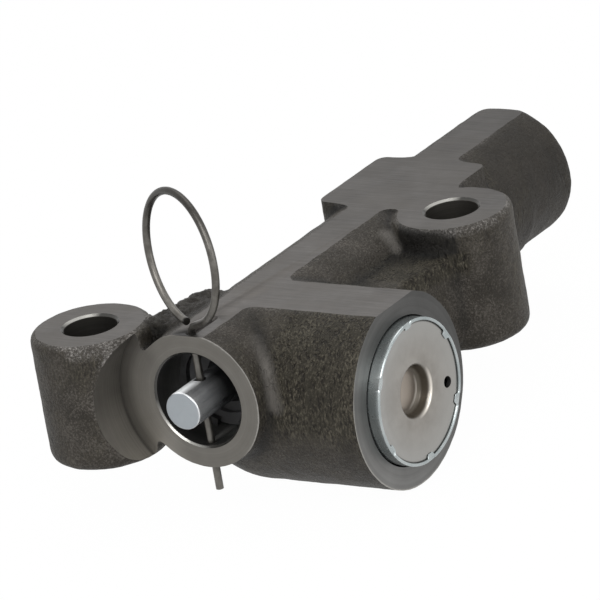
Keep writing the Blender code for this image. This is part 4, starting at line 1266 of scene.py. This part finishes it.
def bolt_hole_cutter(centre):
    """Through hole of a boss with a small chamfer at the milled plane."""
    profile = [
        (BOSS_FOOT_Z - RUN_OUT, BOLT_HOLE_RADIUS),
        (TOP_PLANE - BOLT_HOLE_CHAMFER, BOLT_HOLE_RADIUS),
        (TOP_PLANE + RUN_OUT, BOLT_HOLE_RADIUS + BOLT_HOLE_CHAMFER + RUN_OUT),
    ]
    return turned(profile, "Z", (*centre, 0.0))


def reservoir_bore_cutter():
    """Cap seat and oil chamber."""
    seat = RESERVOIR_FACE_Y + CAP_BORE_DEPTH
    profile = [
        (RESERVOIR_FACE_Y - 2.0 * RUN_OUT, CAP_BORE_RADIUS),
        (seat, CAP_BORE_RADIUS),
        (seat, OIL_BORE_RADIUS),
        (RESERVOIR_FACE_Y + OIL_BORE_DEPTH, OIL_BORE_RADIUS),
    ]
    return turned(profile, "Y", RESERVOIR_CENTRE)


def pin_slot_cutter():
    """Shallow slot in the milled plane that clears the bend of the pin."""
    half = WIRE_RADIUS + 2.0 * GAP
    outline = arc(PIN_X, 0.0, half, 90.0, 270.0, SLOT_STEPS)
    outline += arc(PIN_X + PIN_SLOT_LENGTH, 0.0, half, -90.0, 90.0, SLOT_STEPS)
    return prism(outline, "Z", TOP_PLANE - PIN_SLOT_DEPTH, TOP_PLANE + RUN_OUT)


def square(reach):
    """Outline of a square cutter that covers the casting."""
    return [(-reach, -reach), (reach, -reach), (reach, reach), (-reach, reach)]


def make_casting(finish):
    """The iron casting with its sand-cast skin and every machined face."""
    blanks = [
        bar("X", MOUTH_X - RUN_OUT, BARREL_END_X - REAR_LENGTH / 2.0, BARREL_RADIUS),
        reservoir_blank(),
        boss_blank(LEFT_BOSS, LEFT_BOSS_EDGE),
        boss_blank(RIGHT_BOSS, RIGHT_BOSS_EDGE),
        left_web(),
        right_web(),
        flange_blank(),
        rear_blank(),
        pad_blank(),
    ]
    casting = to_object("tensioner_casting", joined(blanks), [finish["skin"]])
    remesh = casting.modifiers.new("mould", "REMESH")
    remesh.mode = "VOXEL"
    remesh.voxel_size = CAST_VOXEL
    remesh.use_smooth_shade = True
    settled(casting)
    cast_surface(casting)
    reach = 2.0 * BARREL_END_X
    duct_start = RESERVOIR_FACE_Y + OIL_BORE_DEPTH - RUN_OUT
    cut_all(casting, {
        "milled_plane": (prism(square(reach), "Z", TOP_PLANE, TOP_PLANE + reach),
                         finish["milled"]),
        "reservoir_facing": (prism(square(reach), "Y", RESERVOIR_FACE_Y - reach, RESERVOIR_FACE_Y),
                             finish["faced end"]),
        "spot_face": (bar("X", MOUTH_X - reach, MOUTH_X, SPOT_FACE_RADIUS), finish["mouth"]),
        "main_bore": (main_bore_cutter(), finish["main bore"]),
        "left_bolt_hole": (bolt_hole_cutter(LEFT_BOSS), finish["left hole"]),
        "right_bolt_hole": (bolt_hole_cutter(RIGHT_BOSS), finish["right hole"]),
        "reservoir_bore": (reservoir_bore_cutter(), finish["oil bore"]),
        "oil_duct": (bar("Y", duct_start, 0.0, OIL_DUCT_RADIUS, (RESERVOIR_X, 0.0, 0.0)),
                     finish["oil bore"]),
        "pin_slot": (pin_slot_cutter(), finish["milled"]),
        "pin_hole": (bar("Z", -BARREL_RADIUS - RUN_OUT, TOP_PLANE + RUN_OUT, WIRE_RADIUS + GAP,
                         (PIN_X, 0.0, 0.0)), finish["main bore"]),
    })
    mark_cut_edges(casting)
    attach(casting, "housing")
    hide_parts("housing")


def make_rod(finish):
    """Chromed rod with a rounded tip edge and the cross hole for the pin."""
    tip = ROD_LOW.x
    edge = arc(tip + ROD_CHAMFER, ROD_RADIUS - ROD_CHAMFER, ROD_CHAMFER, 180.0, 90.0, TIP_STEPS)
    profile = edge + [(ROD_HIGH.x - ROD_CHAMFER, ROD_RADIUS),
                      (ROD_HIGH.x, ROD_RADIUS - ROD_CHAMFER)]
    rod = to_object("chromed_rod", turned(profile, "X"), [finish["chrome"], finish["rod tip"]])
    for face in rod.data.polygons:
        if face.center.x < tip + ROD_CHAMFER / 8.0:
            face.material_index = 1
    hole = bar("Z", -2.0 * ROD_RADIUS, 2.0 * ROD_RADIUS, WIRE_RADIUS + GAP + ROD_PLAY / 2.0,
               (PIN_X - ROD_PLAY / 2.0, 0.0, 0.0))
    cut_all(rod, {"rod_cross_hole": (hole, finish["chrome"])})
    rod.data.set_sharp_from_angle(angle=SMOOTH_ANGLE)
    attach(rod, "plunger")
    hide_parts("plunger_rod")


def stake_weight(angle):
    """How strongly a point of the rim is pressed by the nearest of the stakes."""
    pitch = 2.0 * math.pi / STAKE_COUNT
    offset = abs((angle - STAKE_FIRST + pitch / 2.0) % pitch - pitch / 2.0)
    share = max(0.0, min(1.0, (STAKE_FOOT - offset) / STAKE_FADE))
    return share * share * (3.0 - 2.0 * share)


def make_cup(finish):
    """Zinc plated cup whose thin rim stands round the disc, staked over it in six places."""
    outer = CUP_RADIUS
    rim = CUP_LOW.y
    inner = outer - CUP_RIM_WIDTH
    edge = CUP_RIM_EDGE
    deep = rim + DISC_SINK + CAP_DISC_SHEET + GAP
    profile = [(CUP_HIGH.y, outer - CUP_SHEET), (CUP_HIGH.y, outer), (rim + 4.0 * edge, outer)]
    profile += arc(rim + edge, outer - edge, edge, 90.0, 180.0, EDGE_STEPS)
    profile += arc(rim + edge, inner + edge, edge, 180.0, 270.0, EDGE_STEPS)
    profile += [(rim + DISC_SINK, inner), (deep, inner), (deep, outer - CUP_SHEET)]
    shape = turned(profile, "Y", RESERVOIR_CENTRE, ring=True, facets=3 * TURNED_FACETS)
    for vert in shape.verts:
        if vert.co.y > rim + DISC_SINK / 2.0:
            continue
        across = Vector((vert.co.x - RESERVOIR_X, vert.co.z - RESERVOIR_Z))
        weight = stake_weight(math.atan2(across.y, across.x))
        depth = min(1.0, (outer + edge - across.length) / CUP_RIM_WIDTH)
        pull = across.normalized() * STAKE_REACH * weight * depth
        vert.co.x -= pull.x
        vert.co.z -= pull.y
        vert.co.y += STAKE_PRESS * weight * (1.0 - (vert.co.y - rim) / DISC_SINK)
    cup = to_object("crimped_cup", shape, [finish["cup"]])
    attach(cup, "housing")
    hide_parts("cap_cup")


def make_disc(finish):
    """Pressed disc of the cap with its central dimple and vent hole."""
    front = CUP_LOW.y + DISC_SINK
    edge = DISC_SEAM - GAP / 4.0
    bend = DIMPLE_SHOULDER
    wall = DIMPLE_RADIUS + bend
    floor = front + DIMPLE_DEPTH
    back_wall = DIMPLE_RADIUS + CAP_DISC_SHEET
    back = [
        (floor + CAP_DISC_SHEET, back_wall - bend / 2.0),
        (floor + CAP_DISC_SHEET - bend / 2.0, back_wall),
        (front + CAP_DISC_SHEET, back_wall),
        (front + CAP_DISC_SHEET, edge),
    ]
    dish = [(front + DISC_DISH * (1.0 - math.cos(math.pi * step / BEND_STEPS)) / 2.0,
             edge - DISC_DISH_WIDTH * step / BEND_STEPS) for step in range(BEND_STEPS + 1)]
    shelf = front + DISC_DISH
    profile = back + dish
    profile += arc(shelf + bend, wall, bend, 180.0, 270.0, BEND_STEPS)
    profile += arc(floor - bend, DIMPLE_RADIUS - bend, bend, 90.0, 0.0, BEND_STEPS)
    disc = to_object("pressed_disc", turned(profile, "Y", RESERVOIR_CENTRE), [finish["disc"]])
    vent = bar("Y", front - RUN_OUT, front + RUN_OUT, VENT_RADIUS,
               (RESERVOIR_X + VENT_OFFSET, 0.0, RESERVOIR_Z - VENT_DROP))
    cut_all(disc, {"cap_vent": (vent, finish["vent"])})
    disc.data.set_sharp_from_angle(angle=SMOOTH_ANGLE)
    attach(disc, "housing")
    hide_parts("cap_disc")


def pin_path():
    """Centre line of the locking pin: tip, straight shank, bend and the pull ring."""
    across = Vector((math.sin(PIN_RING_TURN), math.cos(PIN_RING_TURN), 0.0))
    rise = Matrix.Rotation(PIN_RING_LEAN, 3, across) @ Vector((0.0, 0.0, 1.0))

    def on_ring(angle):
        """A point of the pull ring's centre line."""
        spoke = across * math.cos(angle) + rise * math.sin(angle)
        return PIN_RING_CENTRE + PIN_RING_RADIUS * spoke

    shank_top = Vector((PIN_X, 0.0, TOP_PLANE))
    ring_start = on_ring(PIN_RING_START)
    heading = across * math.sin(PIN_RING_START) - rise * math.cos(PIN_RING_START)
    handles = (shank_top, shank_top + Vector((0.0, 0.0, PIN_BEND_RISE)),
               ring_start - heading * PIN_BEND_PULL, ring_start)
    points = [Vector((PIN_X, 0.0, PIN_TIP_Z)), shank_top]
    for step in range(1, PIN_BEND_STEPS + 1):
        t = step / PIN_BEND_STEPS
        s = 1.0 - t
        points.append(handles[0] * s ** 3 + handles[1] * (3.0 * s * s * t)
                      + handles[2] * (3.0 * s * t * t) + handles[3] * t ** 3)
    for step in range(1, PIN_RING_STEPS + 1):
        points.append(on_ring(PIN_RING_START - PIN_RING_SWEEP * step / PIN_RING_STEPS))
    return points


def make_pin(finish):
    """Locking pin bent from one length of spring wire."""
    curve = bpy.data.curves.new("ring_pull_pin", "CURVE")
    curve.dimensions = "3D"
    curve.bevel_depth = WIRE_RADIUS
    curve.bevel_resolution = PIN_ROUND_STEPS
    curve.use_fill_caps = True
    points = pin_path()
    spline = curve.splines.new("POLY")
    spline.points.add(len(points) - 1)
    for point, place in zip(spline.points, points):
        point.co = (*place, 1.0)
    guide = link(bpy.data.objects.new("pin_guide", curve))
    graph = bpy.context.evaluated_depsgraph_get()
    mesh = bpy.data.meshes.new_from_object(guide.evaluated_get(graph))
    bpy.data.objects.remove(guide, do_unlink=True)
    mesh.name = "ring_pull_pin"
    mesh.materials.clear()
    mesh.materials.append(finish["pin wire"])
    mesh.shade_smooth()
    mesh.set_sharp_from_angle(angle=SMOOTH_ANGLE)
    pin = link(bpy.data.objects.new("ring_pull_pin", mesh))
    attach(pin, "retaining_pin")
    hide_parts("retaining_pin")


# The node that a spring stands for, its body, and the joint and the travel listed for it.
COIL_SPRINGS = (
    ("return_spring", "housing", "plunger_slide", 0.0005),
    ("check_ball_spring", "plunger", "check_ball_lift", 0.0008),
)
INNER_FINISHES = {
    "plunger": "ground steel",
    "wear_ring": "polymer",
    "valve_seat": "ground steel",
    "check_ball": "steel ball",
    "valve_cage": "cup",
    "seal_snap_ring": "black steel",
    "seal_case": "rubber",
    "seal_lip": "rubber",
    "seal_garter_spring": "spring wire",
    "rod_guide": "sintered",
    "reservoir_spring": "spring wire",
    "diaphragm_plate": "ground steel",
    "reservoir_diaphragm": "rubber",
}


def make_coil_springs(finish):
    """The two springs, each given spring wire and attached to its body."""
    for place, body, joint, travel in COIL_SPRINGS:
        coil = link(bpy.data.objects.new(place + "_coil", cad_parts[place].data.copy()))
        coil.data.materials.clear()
        coil.data.materials.append(finish["spring wire"])
        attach(coil, body)
        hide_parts(place)
        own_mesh(coil)


def finish_inner_pieces(finish):
    """Give every enclosed piece its real finish."""
    for name, look in INNER_FINISHES.items():
        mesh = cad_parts[name].data
        mesh.materials.clear()
        mesh.materials.append(finish[look])


def make_camera():
    """Long lens at the photograph's viewing angle."""
    data = bpy.data.cameras.new("photo_camera")
    data.sensor_width = SENSOR_WIDTH
    data.lens = CAMERA_LENS
    data.clip_end = CAMERA_REACH
    camera = link(bpy.data.objects.new("photo_camera", data))
    flat = math.cos(CAMERA_ELEVATION)
    ahead = Vector((-math.sin(CAMERA_AZIMUTH) * flat, math.cos(CAMERA_AZIMUTH) * flat,
                    -math.sin(CAMERA_ELEVATION)))
    camera.location = CAMERA_AIM - ahead * CAMERA_DISTANCE
    level = ahead.to_track_quat("-Z", "Y")
    camera.rotation_mode = "QUATERNION"
    camera.rotation_quaternion = level @ Quaternion((0.0, 0.0, 1.0), -CAMERA_ROLL)
    bpy.context.scene.camera = camera


def soft_light(name, direction, distance, size, power):
    """A square soft light that looks at the part."""
    data = bpy.data.lights.new(name, "AREA")
    data.size = size
    data.energy = power
    lamp = link(bpy.data.objects.new(name, data))
    lamp.location = CAMERA_AIM + Vector(direction).normalized() * distance
    lamp.rotation_mode = "QUATERNION"
    lamp.rotation_quaternion = (CAMERA_AIM - lamp.location).to_track_quat("-Z", "Y")


def seen_rays(tree):
    """One for rays that show the background: seen straight, mirrored or through glass."""
    rays = tree.nodes.new("ShaderNodeLightPath").outputs
    seen = larger(tree, rays["Is Camera Ray"], rays["Is Transmission Ray"])
    return larger(tree, seen, rays["Is Glossy Ray"])


def make_studio():
    """Pale floor, white surroundings and plain soft light."""
    world = bpy.data.worlds.new("studio")
    bpy.context.scene.world = world
    world.use_nodes = True
    tree = world.node_tree
    direction = tree.nodes.new("ShaderNodeTexCoord").outputs["Generated"]
    room = remapped(tree, axes_of(tree, direction)["Z"], *ROOM_LIGHT)
    level = node(tree, "ShaderNodeMix", {"Factor": seen_rays(tree), 2: room, 3: 1.0}).outputs[0]
    backdrop = tree.nodes["Background"]
    backdrop.inputs["Color"].default_value = WHITE
    tree.links.new(level, backdrop.inputs["Strength"])

    material, tree, shader = new_look("studio floor")
    shader.inputs["Base Color"].default_value = FLOOR_COLOUR
    shader.inputs["Roughness"].default_value = FLOOR_ROUGHNESS
    glow = node(tree, "ShaderNodeEmission", {"Color": WHITE, "Strength": 1.0})
    share = times(tree, seen_rays(tree), FLOOR_GLOW)
    mixed = node(tree, "ShaderNodeMixShader", {0: share, 1: shader.outputs[0],
                                               2: glow.outputs[0]})
    tree.links.new(mixed.outputs[0], tree.nodes["Material Output"].inputs["Surface"])
    floor_shape = bmesh.new()
    bmesh.ops.create_grid(floor_shape, x_segments=1, y_segments=1, size=FLOOR_HALF_SIZE)
    floor = to_object("studio_floor", floor_shape, [material])
    floor.location = (CAMERA_AIM.x, CAMERA_AIM.y, solid_box[0][2] - FLOOR_GAP)

    for name, values in SOFT_LIGHTS.items():
        soft_light(name, *values)


bpy.context.scene.view_settings.view_transform = "Standard"
make_camera()
make_studio()
finishes = make_finishes()
make_casting(finishes)
make_rod(finishes)
make_cup(finishes)
make_disc(finishes)
make_pin(finishes)
make_coil_springs(finishes)
finish_inner_pieces(finishes)
